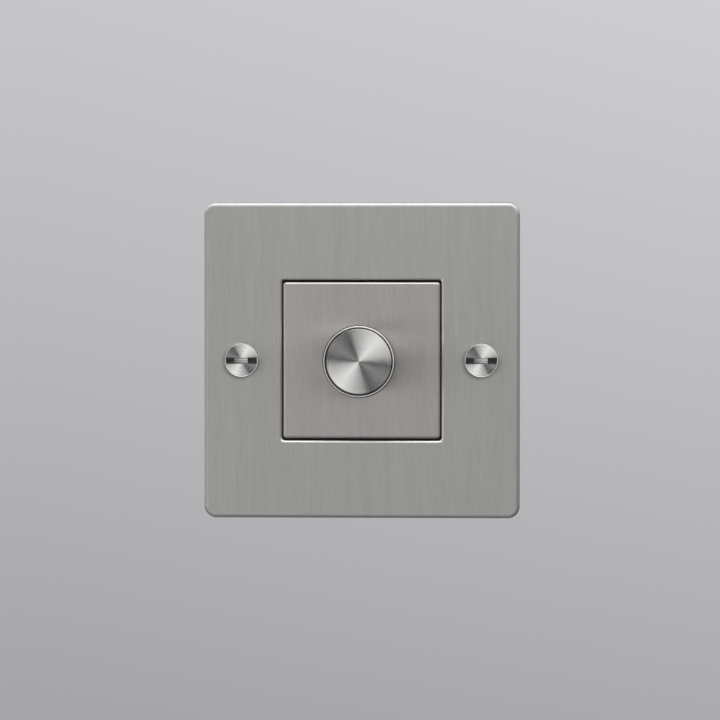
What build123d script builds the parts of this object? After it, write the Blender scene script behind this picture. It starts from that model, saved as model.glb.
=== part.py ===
from build123d import *
from math import sqrt
import os

os.makedirs("parts", exist_ok=True)

# A rotary dimmer with a push switch, made to be screwed to a wall box.
# X is to the right, Z is up and the front faces -Y. The wall is the plane Y = 0.
# All sizes are in millimetres. "ahead" and "front" are measured from the wall towards the room.

# Front plate with its square window, and the insert that fills the window
plate_side = 79.0
plate_thickness = 3.0
plate_corner = 3.0
plate_edge = 1.0
rim_width = 3.0
window_side = 40.0
window_corner = 0.75
window_edge = 0.65
insert_gap = 0.4

# Steel strap on the wall and the black gasket in front of it
strap_setback = 0.2
strap_thickness = 1.2
strap_corner = 4.0
gasket_thickness = 0.4
pocket_play = 0.5

# Fixing screws with a coin slot
screw_inset = 9.5
fixing_slot_length = 8.4
screw_diameter = 3.5
screw_neck = 2.8
neck_reach = 1.0
screw_reach = 25.0
screw_point = 0.5
screw_play = 0.35
head_diameter = 8.6
head_height = 1.8
head_edge = 0.5
coin_slot_length = 7.6
coin_slot_width = 1.6
coin_slot_depth = 1.3
coin_bridge_length = 3.7
coin_bridge_drop = 0.35

# Knob, its travel and its liner
knob_diameter = 18.0
knob_back_diameter = 16.4
knob_length = 12.0
knob_face_diameter = 16.2
knob_groove_width = 0.35
knob_groove_depth = 0.9
knob_rim_drop = 0.15
knob_rim_land = 1.0
knob_edge = 0.35
knob_crown = 2.5
knob_stand_off = 0.4
knob_room = 0.6
liner_diameter = 9.0
push_travel = 0.8
turn_each_way = 135.0

# Bush, its washer and nut, and the shaft that turns and slides in it
bush_diameter = 7.0
bush_stand_out = 0.8
bush_play = 0.15
bush_edge = 0.4
flange_thickness = 1.0
washer_diameter = 12.0
washer_thickness = 0.5
nut_flats = 10.0
nut_thickness = 2.0
shaft_diameter = 6.0
shaft_flat = 1.5
shaft_end_play = 0.3
tail_diameter = 4.0
tail_flat = 1.2
tail_reach = 0.4
running_play = 0.05
push_play = 0.15
clip_diameter = 6.4
clip_thickness = 0.6
clip_groove = 0.4
clip_mouth = 2.2

# Potentiometer
pot_diameter = 17.0
pot_wall = 0.5
rotor_diameter = 13.0
rotor_disc = 1.4
rotor_length = 2.6
hub_diameter = 8.4
lug_reach = 1.1
lug_half_angle = 8.0
stop_play_angle = 0.5
stop_play = 0.4
wiper_thickness = 0.3
wiper_track_diameter = 10.4
wiper_width = 1.6
wiper_slope = 3.2
wiper_play = 0.1
wafer_thickness = 0.8
wafer_play = 0.05
tail_play = 0.3
tongue_width = 9.0
tongue_reach = 2.4
tongue_play = 0.2
track_pitch = 3.0
track_pin_width = 1.0
track_pin_thickness = 0.4

# Push switch behind the potentiometer
switch_diameter = 14.0
switch_depth = 5.4
switch_wall = 0.8
plunger_play = 0.1
plunger_thickness = 1.2
stem_diameter = 3.2
stem_length = 1.0
contact_track_diameter = 9.9
contact_ring_width = 1.3
contact_ring_thickness = 0.4
contact_diameter = 1.8
contact_tail_diameter = 1.0
contact_play = 0.05
spring_diameter = 5.2
spring_wire = 0.45
spring_turns = 2.5
spring_play = 0.02

# Circuit board and the components on its front
board_thickness = 1.6
board_play = 0.3
component_gap = 0.6
component_edge = 0.5
lead_diameter = 0.6
lead_pitch = 5.0
lead_play = 0.1
lead_reach = 0.8
choke_diameter = 9.2
choke_hole = 3.1
choke_height = 5.3
winding_thickness = 0.6
winding_half_angle = 150.0
film_width = 6.0
film_length = 13.0
film_height = 10.0
can_diameter = 8.0
can_height = 9.0
can_groove = 0.3
bridge_diameter = 8.6
bridge_height = 5.5
fuse_diameter = 8.4
fuse_height = 8.0
varistor_diameter = 8.6
varistor_thickness = 3.6
chip_length = 5.0
chip_width = 3.9
chip_height = 1.5
chip_leg_pitch = 1.27
chip_leg_width = 0.42
chip_leg_reach = 1.0
chip_stand_off = 0.15
chip_height_on_board = 14.0
resistor_diameter = 2.4
resistor_length = 6.2
resistor_span = 10.0
resistor_height_on_board = -14.5

# Power transistors and their heat sink behind the board
transistor_width = 10.0
transistor_length = 9.0
transistor_thickness = 4.4
transistor_pitch = 13.0
transistor_tab_length = 6.0
transistor_tab_thickness = 1.3
transistor_hole = 3.6
transistor_lead = 0.7
transistor_lead_pitch = 2.54
transistor_lead_run = 2.5
transistor_room = 1.1
heat_sink_thickness = 1.5
heat_sink_width = 26.0
heat_sink_flange = 5.0
heat_sink_play = 0.3

# Housing, and the tabs of the strap that hold it
wall = 1.8
corner_cut = 4.0
lid_thickness = 2.0
lid_edge = 0.6
lip_thickness = 1.2
lip_depth = 2.0
lip_play = 0.1
ledge = 0.8
solder_room = 1.0
back_edge = 1.0
vent_width = 1.4
vent_length = 4.0
vent_pitch = 3.2
vent_count = 7
tab_width = 7.0
tab_spacing = 20.0
tab_length = 9.2
tab_play = 0.1
tab_relief = 0.3
bend_radius = 0.4
nib_width = 4.0
nib_reach = 0.9
nib_lead = 1.8
nib_land = 0.6
nib_front = 4.8
nib_play = 0.2

# Wire terminals: brass pillars with a clamping screw
wire_hole = 3.2
pillar_length = 7.0
pillar_width = 6.4
pillar_floor = 0.8
pillar_clamp = 2.4
pillar_edge = 0.4
pillar_gap = 0.2
pillar_margin = 1.0
pillar_pitch = 10.0
pillar_foot_diameter = 1.2
rivet_diameter = 2.4
foot_play = 0.1
clamp_diameter = 3.0
clamp_head_diameter = 5.0
clamp_head_height = 1.5
clamp_slot_width = 0.8
clamp_slot_depth = 0.8
clamp_play = 0.05
rib_height = 0.7

# Stack from the wall to the front of the knob
strap_front = strap_setback + strap_thickness
gasket_front = strap_front + gasket_thickness
washer_front = plate_thickness + washer_thickness
nut_front = washer_front + nut_thickness
bush_front = nut_front + bush_stand_out
knob_back = plate_thickness + push_travel + knob_stand_off
knob_front = knob_back + knob_length
knob_rim_front = knob_front - knob_rim_drop
hollow_floor = bush_front + push_travel + knob_room
liner_front = knob_front - knob_crown
shaft_front = liner_front - shaft_end_play

# Stack from the wall to the back of the housing
lid_back = strap_setback - lid_thickness
flange_back = lid_back - flange_thickness
rotor_front = flange_back - running_play
rotor_back = rotor_front - rotor_length
wiper_back = rotor_back - wiper_thickness
clip_front = rotor_back - running_play
clip_back = clip_front - clip_thickness
wafer_front = clip_back - push_travel - push_play
wafer_back = wafer_front - wafer_thickness
case_back = wafer_back - pot_wall
shaft_back = case_back - tail_reach
plunger_front = shaft_back - running_play
plunger_back = plunger_front - plunger_thickness
contact_ring_back = plunger_back - contact_ring_thickness
board_front = case_back - switch_depth
board_back = board_front - board_thickness
switch_floor = board_front + switch_wall
lead_back = board_back - lead_reach
solder_back = board_back - solder_room
step_back = solder_back - wall
bay_back = board_back - transistor_room - transistor_thickness - heat_sink_thickness
shell_back = bay_back - wall
sink_front = bay_back + heat_sink_thickness

# Widths: the screws keep their distance from the plate's edge, and the housing is as wide as the
# potentiometer with a component and the lid's lip on each side
fixing_centres = plate_side - 2 * screw_inset
pocket_side = plate_side - 2 * rim_width
strap_side = pocket_side - 2 * pocket_play
lip_inside = pot_diameter / 2 + 2 * component_gap + choke_diameter
inside_half = lip_inside + lip_thickness + lip_play
housing_half = inside_half + wall
component_limit = lip_inside - component_gap
step_height = pillar_length + pillar_gap + pillar_margin - housing_half
pillar_height = step_height - pillar_gap - pillar_length / 2
pillar_depth = pillar_floor + wire_hole + pillar_clamp
earth_height = housing_half + strap_thickness + tab_play + pillar_width / 2
screw_hole_radius = screw_diameter / 2 + screw_play
bush_hole_radius = bush_diameter / 2 + bush_play
nut_corner_radius = nut_flats / sqrt(3)
knob_hollow_radius = max(nut_corner_radius, washer_diameter / 2) + knob_room
groove_radius = knob_face_diameter / 2 + knob_groove_width
plunger_radius = switch_diameter / 2 - switch_wall - plunger_play
tail_hole_radius = tail_diameter / 2 + tail_play
wafer_radius = pot_diameter / 2 - pot_wall - wafer_play
tongue_bottom = pot_diameter / 2 + tongue_reach
track_pin_height = -pot_diameter / 2 - tongue_reach / 2
side_x = pot_diameter / 2 + component_gap
tab_inner = housing_half + tab_play
tab_outer = tab_inner + strap_thickness
tab_root = tab_inner - strap_thickness - bend_radius
tab_back = strap_setback - tab_length
nib_back = nib_front + nib_lead + nib_land

forward = (Align.CENTER, Align.CENTER, Align.MIN)
backward = (Align.CENTER, Align.CENTER, Align.MAX)

# Half sections of turned pieces: X is the radius, Y the distance ahead of the wall
turning = Plane((0, 0, 0), x_dir=(1, 0, 0), z_dir=(0, 0, -1))


def ahead(distance):
    # the plane this far in front of the wall, with X to the right, Y up and its normal to the room
    return Plane.XZ.offset(distance)


def outline(inset, mode=Mode.ADD):
    # the housing's square with cut corners, moved in by the inset, drawn in the open sketch
    half = housing_half - inset
    near = half - corner_cut + inset * (2 - sqrt(2))
    Polygon(
        (near, half),
        (half, near),
        (half, -near),
        (near, -half),
        (-near, -half),
        (-half, -near),
        (-half, near),
        (-near, half),
        align=None,
        mode=mode,
    )


def ring_sector(inner, outer, middle, half_angle):
    # a stretch of a flat ring, drawn in the open sketch
    with BuildLine() as edge:
        outside = CenterArc((0, 0), outer, middle - half_angle, 2 * half_angle)
        inside = CenterArc((0, 0), inner, middle - half_angle, 2 * half_angle)
        Line(outside @ 0, inside @ 0)
        Line(outside @ 1, inside @ 1)
    make_face(edge.edges())


def corner(sketch, x, y):
    # the corner of an open sketch that is nearest to this point
    return sketch.vertices().sort_by_distance((x, y))[0]


def lead_pair(x, height):
    # where the two leads of a component go through the board
    return [(x - lead_pitch / 2, height), (x + lead_pitch / 2, height)]


def add_leads(places):
    # round leads from a component's seat through the board
    with BuildSketch(ahead(lead_back)) as leads:
        with Locations(*places):
            Circle(lead_diameter / 2)
    extrude(leads.sketch, amount=board_front - lead_back)


def write(piece, label):
    piece.part.label = label
    export_step(piece.part, f"parts/{label}.step")


# Front plate: a shallow tray with a rounded front edge, open at the window
with BuildPart() as front_plate:
    with BuildSketch(ahead(0)):
        RectangleRounded(plate_side, plate_side, plate_corner)
        RectangleRounded(window_side, window_side, window_corner, mode=Mode.SUBTRACT)
        with PolarLocations(fixing_centres / 2, 2):
            Circle(screw_hole_radius, mode=Mode.SUBTRACT)
    extrude(amount=plate_thickness)
    fillet(front_plate.faces().sort_by(Axis.Y)[0].outer_wire().edges(), plate_edge)
    window_rim = front_plate.faces().sort_by(Axis.Y)[0].inner_wires().sort_by(SortBy.LENGTH)[-1]
    fillet(window_rim.edges(), window_edge)
    with BuildSketch(ahead(0)):
        RectangleRounded(pocket_side, pocket_side, plate_corner)
    extrude(amount=gasket_front, mode=Mode.SUBTRACT)
write(front_plate, "front_plate")

# Insert: flush with the plate, held by the bush's nut
insert_side = window_side - 2 * insert_gap
with BuildPart() as insert_plate:
    with BuildSketch(ahead(gasket_front)):
        RectangleRounded(insert_side, insert_side, window_corner)
        Circle(bush_hole_radius, mode=Mode.SUBTRACT)
    extrude(amount=plate_thickness - gasket_front)
    fillet(insert_plate.faces().sort_by(Axis.Y)[0].outer_wire().edges(), window_edge)
write(insert_plate, "insert_plate")

# Gasket between the strap and the two front pieces
with BuildPart() as backing_gasket:
    with BuildSketch(ahead(strap_front)):
        RectangleRounded(strap_side, strap_side, strap_corner)
        Circle(bush_hole_radius, mode=Mode.SUBTRACT)
        with PolarLocations(fixing_centres / 2, 2):
            Circle(screw_hole_radius, mode=Mode.SUBTRACT)
    extrude(amount=gasket_thickness)
write(backing_gasket, "backing_gasket")

# One fixing screw, turned, with a thin neck through plate and strap. Its coin slot is shallow in the
# middle and deep at both ends
head_front = plate_thickness + head_height
shank_back = plate_thickness - screw_reach
screw_shoulder = (screw_diameter - screw_neck) / 2
with BuildPart() as screw:
    with BuildSketch(turning) as half_screw:
        with BuildLine():
            Polyline(
                (0, shank_back),
                (screw_diameter / 2, shank_back),
                (screw_diameter / 2, -neck_reach - screw_shoulder),
                (screw_neck / 2, -neck_reach),
                (screw_neck / 2, plate_thickness),
                (head_diameter / 2, plate_thickness),
                (head_diameter / 2, head_front),
                (0, head_front),
                close=True,
            )
        make_face()
        fillet(corner(half_screw, head_diameter / 2, head_front), head_edge)
        chamfer(corner(half_screw, screw_diameter / 2, shank_back), screw_point)
    revolve(axis=Axis.Y)
    with BuildSketch(ahead(head_front)):
        Rectangle(coin_slot_length, coin_slot_width)
    extrude(amount=-coin_bridge_drop, mode=Mode.SUBTRACT)
    with BuildSketch(ahead(head_front)):
        Rectangle(coin_slot_length, coin_slot_width)
        Rectangle(coin_bridge_length, coin_slot_width, mode=Mode.SUBTRACT)
    extrude(amount=-coin_slot_depth, mode=Mode.SUBTRACT)
with BuildPart() as fixing_screws:
    with Locations((-fixing_centres / 2, 0, 0), (fixing_centres / 2, 0, 0)):
        add(screw.part)
write(fixing_screws, "fixing_screws")

# Knob: turned from bar, a little narrower at its back, with a grooved front, a hollow over the nut
# and a bore for the liner
with BuildPart() as knob:
    with BuildSketch(turning) as half_knob:
        with BuildLine():
            Polyline(
                (knob_hollow_radius, knob_back),
                (knob_back_diameter / 2, knob_back),
                (knob_diameter / 2, knob_rim_front - knob_rim_land),
                (knob_diameter / 2, knob_rim_front),
                (groove_radius, knob_rim_front),
                (groove_radius, knob_front - knob_groove_depth),
                (knob_face_diameter / 2, knob_front - knob_groove_depth),
                (knob_face_diameter / 2, knob_front),
                (0, knob_front),
                (0, liner_front),
                (liner_diameter / 2, liner_front),
                (liner_diameter / 2, hollow_floor),
                (knob_hollow_radius, hollow_floor),
                close=True,
            )
        make_face()
        fillet(corner(half_knob, knob_diameter / 2, knob_rim_front), knob_edge)
        chamfer(corner(half_knob, knob_back_diameter / 2, knob_back), knob_edge)
    revolve(axis=Axis.Y)
write(knob, "knob")

# Liner: a nylon sleeve pressed into the knob, with a flat that drives the shaft
with BuildPart() as knob_liner:
    with BuildSketch(ahead(hollow_floor)):
        Circle(liner_diameter / 2)
    extrude(amount=liner_front - hollow_floor)
    with BuildSketch(ahead(hollow_floor)):
        Circle(shaft_diameter / 2 + running_play)
        with Locations((0, shaft_flat + running_play)):
            Rectangle(liner_diameter, liner_diameter, align=(Align.CENTER, Align.MIN), mode=Mode.SUBTRACT)
    extrude(amount=liner_front - hollow_floor, mode=Mode.SUBTRACT)
write(knob_liner, "knob_liner")

# Washer and nut that clamp the insert, gasket, strap and lid against the bush's flange
with BuildPart() as bush_washer:
    with BuildSketch(ahead(plate_thickness)):
        Circle(washer_diameter / 2)
        Circle(bush_hole_radius, mode=Mode.SUBTRACT)
    extrude(amount=washer_thickness)
write(bush_washer, "bush_washer")

with BuildPart() as bush_nut:
    with BuildSketch(ahead(washer_front)):
        RegularPolygon(nut_flats / 2, 6, major_radius=False)
        Circle(bush_diameter / 2 + running_play, mode=Mode.SUBTRACT)
    extrude(amount=nut_thickness)
    # the corners are turned off at both ends
    with BuildSketch(turning):
        with BuildLine():
            Polyline(
                (0, washer_front),
                (nut_flats / 2, washer_front),
                (nut_corner_radius, washer_front + bush_edge),
                (nut_corner_radius, nut_front - bush_edge),
                (nut_flats / 2, nut_front),
                (0, nut_front),
                close=True,
            )
        make_face()
    revolve(axis=Axis.Y, mode=Mode.INTERSECT)
write(bush_nut, "bush_nut")

# Bush: a flange behind the lid and a tube that carries the nut and guides the shaft
bush_bore_radius = shaft_diameter / 2 + running_play
with BuildPart() as threaded_bush:
    with BuildSketch(turning) as half_bush:
        with BuildLine():
            Polyline(
                (bush_bore_radius, flange_back),
                (pot_diameter / 2, flange_back),
                (pot_diameter / 2, lid_back),
                (bush_diameter / 2, lid_back),
                (bush_diameter / 2, bush_front),
                (bush_bore_radius, bush_front),
                close=True,
            )
        make_face()
        chamfer(corner(half_bush, bush_diameter / 2, bush_front), bush_diameter / 2 - bush_bore_radius - bush_play)
    revolve(axis=Axis.Y)
write(threaded_bush, "threaded_bush")

# Shaft: thick in the bush, with a flat for the knob, and a thin tail with a flat for the rotor
shaft_step = rotor_front + push_travel + push_play
with BuildPart() as control_shaft:
    with BuildSketch(turning) as half_shaft:
        with BuildLine():
            Polyline(
                (0, shaft_back),
                (tail_diameter / 2, shaft_back),
                (tail_diameter / 2, clip_back),
                (tail_diameter / 2 - clip_groove, clip_back),
                (tail_diameter / 2 - clip_groove, clip_front),
                (tail_diameter / 2, clip_front),
                (tail_diameter / 2, shaft_step),
                (shaft_diameter / 2, shaft_step),
                (shaft_diameter / 2, shaft_front),
                (0, shaft_front),
                close=True,
            )
        make_face()
        chamfer(corner(half_shaft, shaft_diameter / 2, shaft_front), shaft_end_play)
    revolve(axis=Axis.Y)
    with BuildSketch(ahead(hollow_floor)):
        with Locations((0, shaft_flat)):
            Rectangle(shaft_diameter, shaft_diameter, align=(Align.CENTER, Align.MIN))
    extrude(amount=knob_length, mode=Mode.SUBTRACT)
    with BuildSketch(ahead(clip_front)):
        with Locations((0, tail_flat)):
            Rectangle(shaft_diameter, shaft_diameter, align=(Align.CENTER, Align.MIN))
    extrude(amount=shaft_step - clip_front, mode=Mode.SUBTRACT)
write(control_shaft, "control_shaft")

# Clip in the shaft's groove, behind the rotor
with BuildPart() as shaft_clip:
    with BuildSketch(ahead(clip_back)):
        Circle(clip_diameter / 2)
        Circle(tail_diameter / 2 - clip_groove + running_play, mode=Mode.SUBTRACT)
        Rectangle(clip_mouth, clip_diameter, align=(Align.CENTER, Align.MAX), mode=Mode.SUBTRACT)
    extrude(amount=clip_thickness)
write(shaft_clip, "shaft_clip")

# Rotor: hub, disc and stop lug, with a flat-sided bore that the shaft's tail slides in
with BuildPart() as wiper_rotor:
    with BuildSketch(ahead(rotor_back)):
        Circle(hub_diameter / 2)
    extrude(amount=rotor_length)
    with BuildSketch(ahead(rotor_back)):
        Circle(rotor_diameter / 2)
        ring_sector(hub_diameter / 2, rotor_diameter / 2 + lug_reach, 90, lug_half_angle)
    extrude(amount=rotor_disc)
    with BuildSketch(ahead(rotor_back)):
        Circle(tail_diameter / 2 + running_play)
        with Locations((0, tail_flat + running_play)):
            Rectangle(hub_diameter, hub_diameter, align=(Align.CENTER, Align.MIN), mode=Mode.SUBTRACT)
    extrude(amount=rotor_length, mode=Mode.SUBTRACT)
write(wiper_rotor, "wiper_rotor")

# Wiper: a spring ring on the rotor's back with two fingers that slope to the track
finger_tip = wafer_front + wiper_play
with BuildPart() as wiper_contact:
    with BuildSketch(ahead(wiper_back)):
        Circle((wiper_track_diameter + wiper_width) / 2)
        Circle((wiper_track_diameter - wiper_width) / 2, mode=Mode.SUBTRACT)
    extrude(amount=wiper_thickness)
    for side in (-1, 1):
        with BuildSketch(Plane.XY.offset(side * wiper_track_diameter / 2)):
            with BuildLine():
                Polyline(
                    (0, -wiper_back),
                    (wiper_thickness * 2, -wiper_back),
                    (wiper_slope / 2, -finger_tip),
                    (wiper_slope / 2 - wiper_thickness * 2, -finger_tip),
                    close=True,
                )
            make_face()
        extrude(amount=wiper_width / 4, both=True)
write(wiper_contact, "wiper_contact")

# Track wafer: a disc with a tongue that carries the three track terminals
with BuildPart() as track_wafer:
    with BuildSketch(ahead(wafer_back)):
        Circle(wafer_radius)
        Rectangle(tongue_width, tongue_bottom, align=(Align.CENTER, Align.MAX))
        Circle(tail_hole_radius, mode=Mode.SUBTRACT)
    extrude(amount=wafer_thickness)
write(track_wafer, "track_wafer")

track_pins = [(-track_pitch, track_pin_height), (0, track_pin_height), (track_pitch, track_pin_height)]
with BuildPart() as track_terminals:
    with BuildSketch(ahead(lead_back)):
        with Locations(*track_pins):
            Rectangle(track_pin_width, track_pin_thickness)
    extrude(amount=wafer_back - lead_back)
write(track_terminals, "track_terminals")

# Potentiometer can: its floor carries the wafer, a stop inside ends the rotor's turn
stop_half_angle = 180 - turn_each_way - lug_half_angle - stop_play_angle
can_inner_radius = pot_diameter / 2 - pot_wall
with BuildPart() as pot_case:
    with BuildSketch(ahead(case_back)):
        Circle(pot_diameter / 2)
        Circle(tail_hole_radius, mode=Mode.SUBTRACT)
    extrude(amount=pot_wall)
    with BuildSketch(ahead(wafer_back)):
        Circle(pot_diameter / 2)
        Circle(can_inner_radius, mode=Mode.SUBTRACT)
    extrude(amount=flange_back - wafer_back)
    with BuildSketch(ahead(rotor_back)):
        ring_sector(rotor_diameter / 2 + stop_play, can_inner_radius + pot_wall / 2, 270, stop_half_angle)
    extrude(amount=flange_back - rotor_back)
    with BuildSketch(ahead(wafer_back)):
        Rectangle(tongue_width + 2 * tongue_play, pot_diameter, align=(Align.CENTER, Align.MAX))
    extrude(amount=wafer_thickness + wafer_play, mode=Mode.SUBTRACT)
write(pot_case, "pot_case")

# Switch case: a cup that stands on the board and closes against the potentiometer
contact_tails = [(-contact_track_diameter / 2, 0), (contact_track_diameter / 2, 0)]
with BuildPart() as switch_case:
    with BuildSketch(ahead(board_front)):
        Circle(switch_diameter / 2)
    extrude(amount=switch_depth)
    with BuildSketch(ahead(switch_floor)):
        Circle(switch_diameter / 2 - switch_wall)
    extrude(amount=switch_depth, mode=Mode.SUBTRACT)
    with BuildSketch(ahead(board_front)):
        with Locations(*contact_tails):
            Circle(contact_tail_diameter / 2 + contact_play)
    extrude(amount=switch_wall, mode=Mode.SUBTRACT)
write(switch_case, "switch_case")

# Plunger that the shaft's tail pushes, the contact ring on its back and the fixed contacts
with BuildPart() as switch_plunger:
    with BuildSketch(ahead(plunger_back)):
        Circle(plunger_radius)
    extrude(amount=plunger_thickness)
    with BuildSketch(ahead(plunger_back - stem_length)):
        Circle(stem_diameter / 2)
    extrude(amount=stem_length)
write(switch_plunger, "switch_plunger")

with BuildPart() as contact_ring:
    with BuildSketch(ahead(contact_ring_back)):
        Circle((contact_track_diameter + contact_ring_width) / 2)
        Circle((contact_track_diameter - contact_ring_width) / 2, mode=Mode.SUBTRACT)
    extrude(amount=contact_ring_thickness)
write(contact_ring, "contact_ring")

contact_front = contact_ring_back - push_travel - contact_play
with BuildPart() as switch_contacts:
    with BuildSketch(ahead(switch_floor)):
        with Locations(*contact_tails):
            Circle(contact_diameter / 2)
    extrude(amount=contact_front - switch_floor)
    with BuildSketch(ahead(lead_back)):
        with Locations(*contact_tails):
            Circle(contact_tail_diameter / 2)
    extrude(amount=switch_floor - lead_back)
write(switch_contacts, "switch_contacts")

# Return spring between the switch's floor and the plunger
spring_length = plunger_back - switch_floor - spring_wire - 2 * spring_play
spring_start = switch_floor + spring_wire / 2 + spring_play
with BuildPart() as return_spring:
    with BuildLine():
        coil = Helix(
            spring_length / spring_turns,
            spring_length,
            spring_diameter / 2,
            center=(0, -spring_start, 0),
            direction=(0, -1, 0),
        )
    with BuildSketch(Plane(coil @ 0, z_dir=coil % 0)):
        Circle(spring_wire / 2)
    sweep(path=coil, is_frenet=True)
write(return_spring, "return_spring")

# Where the components stand: beside the potentiometer and in the four corners
choke_x = side_x + choke_diameter / 2
film_x = -side_x - film_width / 2
can_x = component_limit - can_diameter / 2
bridge_x = component_limit - bridge_diameter / 2
fuse_x = component_limit - fuse_diameter / 2
varistor_x = component_limit - varistor_diameter / 2
transistor_lead_height = step_height + wall + ledge + transistor_lead
transistor_bottom = transistor_lead_height + transistor_lead_run
film_leads = [(film_x, -lead_pitch), (film_x, lead_pitch)]
choke_leads = [(choke_x, -choke_diameter / 2 + winding_thickness), (choke_x, choke_diameter / 2 - winding_thickness)]
can_leads = lead_pair(can_x, can_x)
bridge_leads = lead_pair(-bridge_x, bridge_x)
fuse_leads = lead_pair(-fuse_x, -fuse_x)
varistor_leads = lead_pair(varistor_x, -varistor_x)
resistor_leads = [(-resistor_span / 2, resistor_height_on_board), (resistor_span / 2, resistor_height_on_board)]
pillar_feet = [(-pillar_pitch, pillar_height), (0, pillar_height), (pillar_pitch, pillar_height)]
transistor_feet = [
    (side * transistor_pitch / 2 + leg * transistor_lead_pitch, transistor_lead_height)
    for side in (-1, 1)
    for leg in (-1, 0, 1)
]

# Circuit board
with BuildPart() as circuit_board:
    with BuildSketch(ahead(board_back)):
        outline(wall + board_play)
        with Locations(*film_leads, *choke_leads, *can_leads, *bridge_leads, *fuse_leads):
            Circle(lead_diameter / 2 + lead_play, mode=Mode.SUBTRACT)
        with Locations(*varistor_leads, *resistor_leads):
            Circle(lead_diameter / 2 + lead_play, mode=Mode.SUBTRACT)
        with Locations(*contact_tails):
            Circle(contact_tail_diameter / 2 + contact_play, mode=Mode.SUBTRACT)
        with Locations(*pillar_feet):
            Circle(pillar_foot_diameter / 2 + foot_play, mode=Mode.SUBTRACT)
        with Locations(*track_pins):
            Rectangle(
                track_pin_width + 2 * lead_play, track_pin_thickness + 2 * lead_play, mode=Mode.SUBTRACT
            )
        with Locations(*transistor_feet):
            Rectangle(
                transistor_lead + 2 * lead_play, transistor_lead + 2 * lead_play, mode=Mode.SUBTRACT
            )
    extrude(amount=board_thickness)
write(circuit_board, "circuit_board")

# Choke: a ferrite ring lying on the board, wound most of the way round
core_back = board_front + winding_thickness + running_play
core_outer = choke_diameter / 2 - winding_thickness - running_play
core_inner = choke_hole / 2 + winding_thickness + running_play
core_height = choke_height - 2 * winding_thickness - 2 * running_play
with BuildPart() as ring_core:
    with BuildSketch(ahead(core_back)):
        Circle(core_outer)
        Circle(core_inner, mode=Mode.SUBTRACT)
    extrude(amount=core_height)
with BuildPart() as choke_core:
    with Locations((choke_x, 0, 0)):
        add(ring_core.part)
write(choke_core, "choke_core")

with BuildPart() as winding:
    with BuildSketch(ahead(board_front)):
        ring_sector(choke_hole / 2, choke_diameter / 2, 0, winding_half_angle)
    extrude(amount=choke_height)
    with BuildSketch(ahead(core_back - running_play)):
        Circle(core_outer + running_play)
        Circle(core_inner - running_play, mode=Mode.SUBTRACT)
    extrude(amount=core_height + 2 * running_play, mode=Mode.SUBTRACT)
with BuildPart() as choke_winding:
    with Locations((choke_x, 0, 0)):
        add(winding.part)
    add_leads(choke_leads)
write(choke_winding, "choke_winding")

# Film capacitor: a potted box
with BuildPart() as film_capacitor:
    with BuildSketch(ahead(board_front)):
        with Locations((film_x, 0)):
            RectangleRounded(film_width, film_length, component_edge)
    extrude(amount=film_height)
    chamfer(film_capacitor.faces().sort_by(Axis.Y)[0].edges(), component_edge)
    add_leads(film_leads)
write(film_capacitor, "film_capacitor")

# Smoothing capacitor: a can with a rolled groove over its seal
with BuildPart() as can:
    with BuildSketch(turning) as half_can:
        with BuildLine():
            Polyline(
                (0, board_front),
                (can_diameter / 2, board_front),
                (can_diameter / 2, board_front + can_groove * 3),
                (can_diameter / 2 - can_groove, board_front + can_groove * 4),
                (can_diameter / 2, board_front + can_groove * 5),
                (can_diameter / 2, board_front + can_height),
                (0, board_front + can_height),
                close=True,
            )
        make_face()
        fillet(corner(half_can, can_diameter / 2, board_front + can_height), component_edge)
    revolve(axis=Axis.Y)
with BuildPart() as smoothing_capacitor:
    with Locations((can_x, 0, can_x)):
        add(can.part)
    add_leads(can_leads)
write(smoothing_capacitor, "smoothing_capacitor")

# Bridge rectifier: a round moulded body with a flat
with BuildPart() as bridge_rectifier:
    with BuildSketch(ahead(board_front)):
        with Locations((-bridge_x, bridge_x)):
            Circle(bridge_diameter / 2)
    extrude(amount=bridge_height)
    chamfer(bridge_rectifier.faces().sort_by(Axis.Y)[0].edges(), component_edge)
    with BuildSketch(ahead(board_front)):
        with Locations((-bridge_x, bridge_x + bridge_diameter / 2 - component_edge)):
            Rectangle(bridge_diameter, bridge_diameter, align=(Align.CENTER, Align.MIN))
    extrude(amount=bridge_height, mode=Mode.SUBTRACT)
    add_leads(bridge_leads)
write(bridge_rectifier, "bridge_rectifier")

# Fuse: a round moulded cap
with BuildPart() as fuse:
    with BuildSketch(ahead(board_front)):
        with Locations((-fuse_x, -fuse_x)):
            Circle(fuse_diameter / 2)
    extrude(amount=fuse_height)
    fillet(fuse.faces().sort_by(Axis.Y)[0].edges(), component_edge)
    add_leads(fuse_leads)
write(fuse, "fuse")

# Varistor: a dipped disc standing on edge
with BuildPart() as varistor:
    with BuildSketch(Plane.XY.offset(-varistor_x)):
        with Locations((varistor_x, -board_front - varistor_diameter / 2)):
            Circle(varistor_diameter / 2)
    extrude(amount=varistor_thickness / 2, both=True)
    fillet(varistor.edges().filter_by(GeomType.CIRCLE), component_edge)
    with BuildSketch(ahead(lead_back)):
        with Locations(*varistor_leads):
            Circle(lead_diameter / 2)
    extrude(amount=board_front + varistor_diameter / 2 - lead_back)
write(varistor, "varistor")

# Controller chip with gull-wing legs, soldered to the board's front
with BuildPart() as controller_chip:
    with BuildSketch(ahead(board_front + chip_stand_off)):
        with Locations((0, chip_height_on_board)):
            Rectangle(chip_length, chip_width)
    extrude(amount=chip_height)
    with BuildSketch(ahead(board_front)):
        with Locations((0, chip_height_on_board)):
            with GridLocations(chip_leg_pitch, chip_width + chip_leg_reach, 4, 2):
                Rectangle(chip_leg_width, chip_leg_reach)
    extrude(amount=chip_height / 2)
write(controller_chip, "controller_chip")

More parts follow.
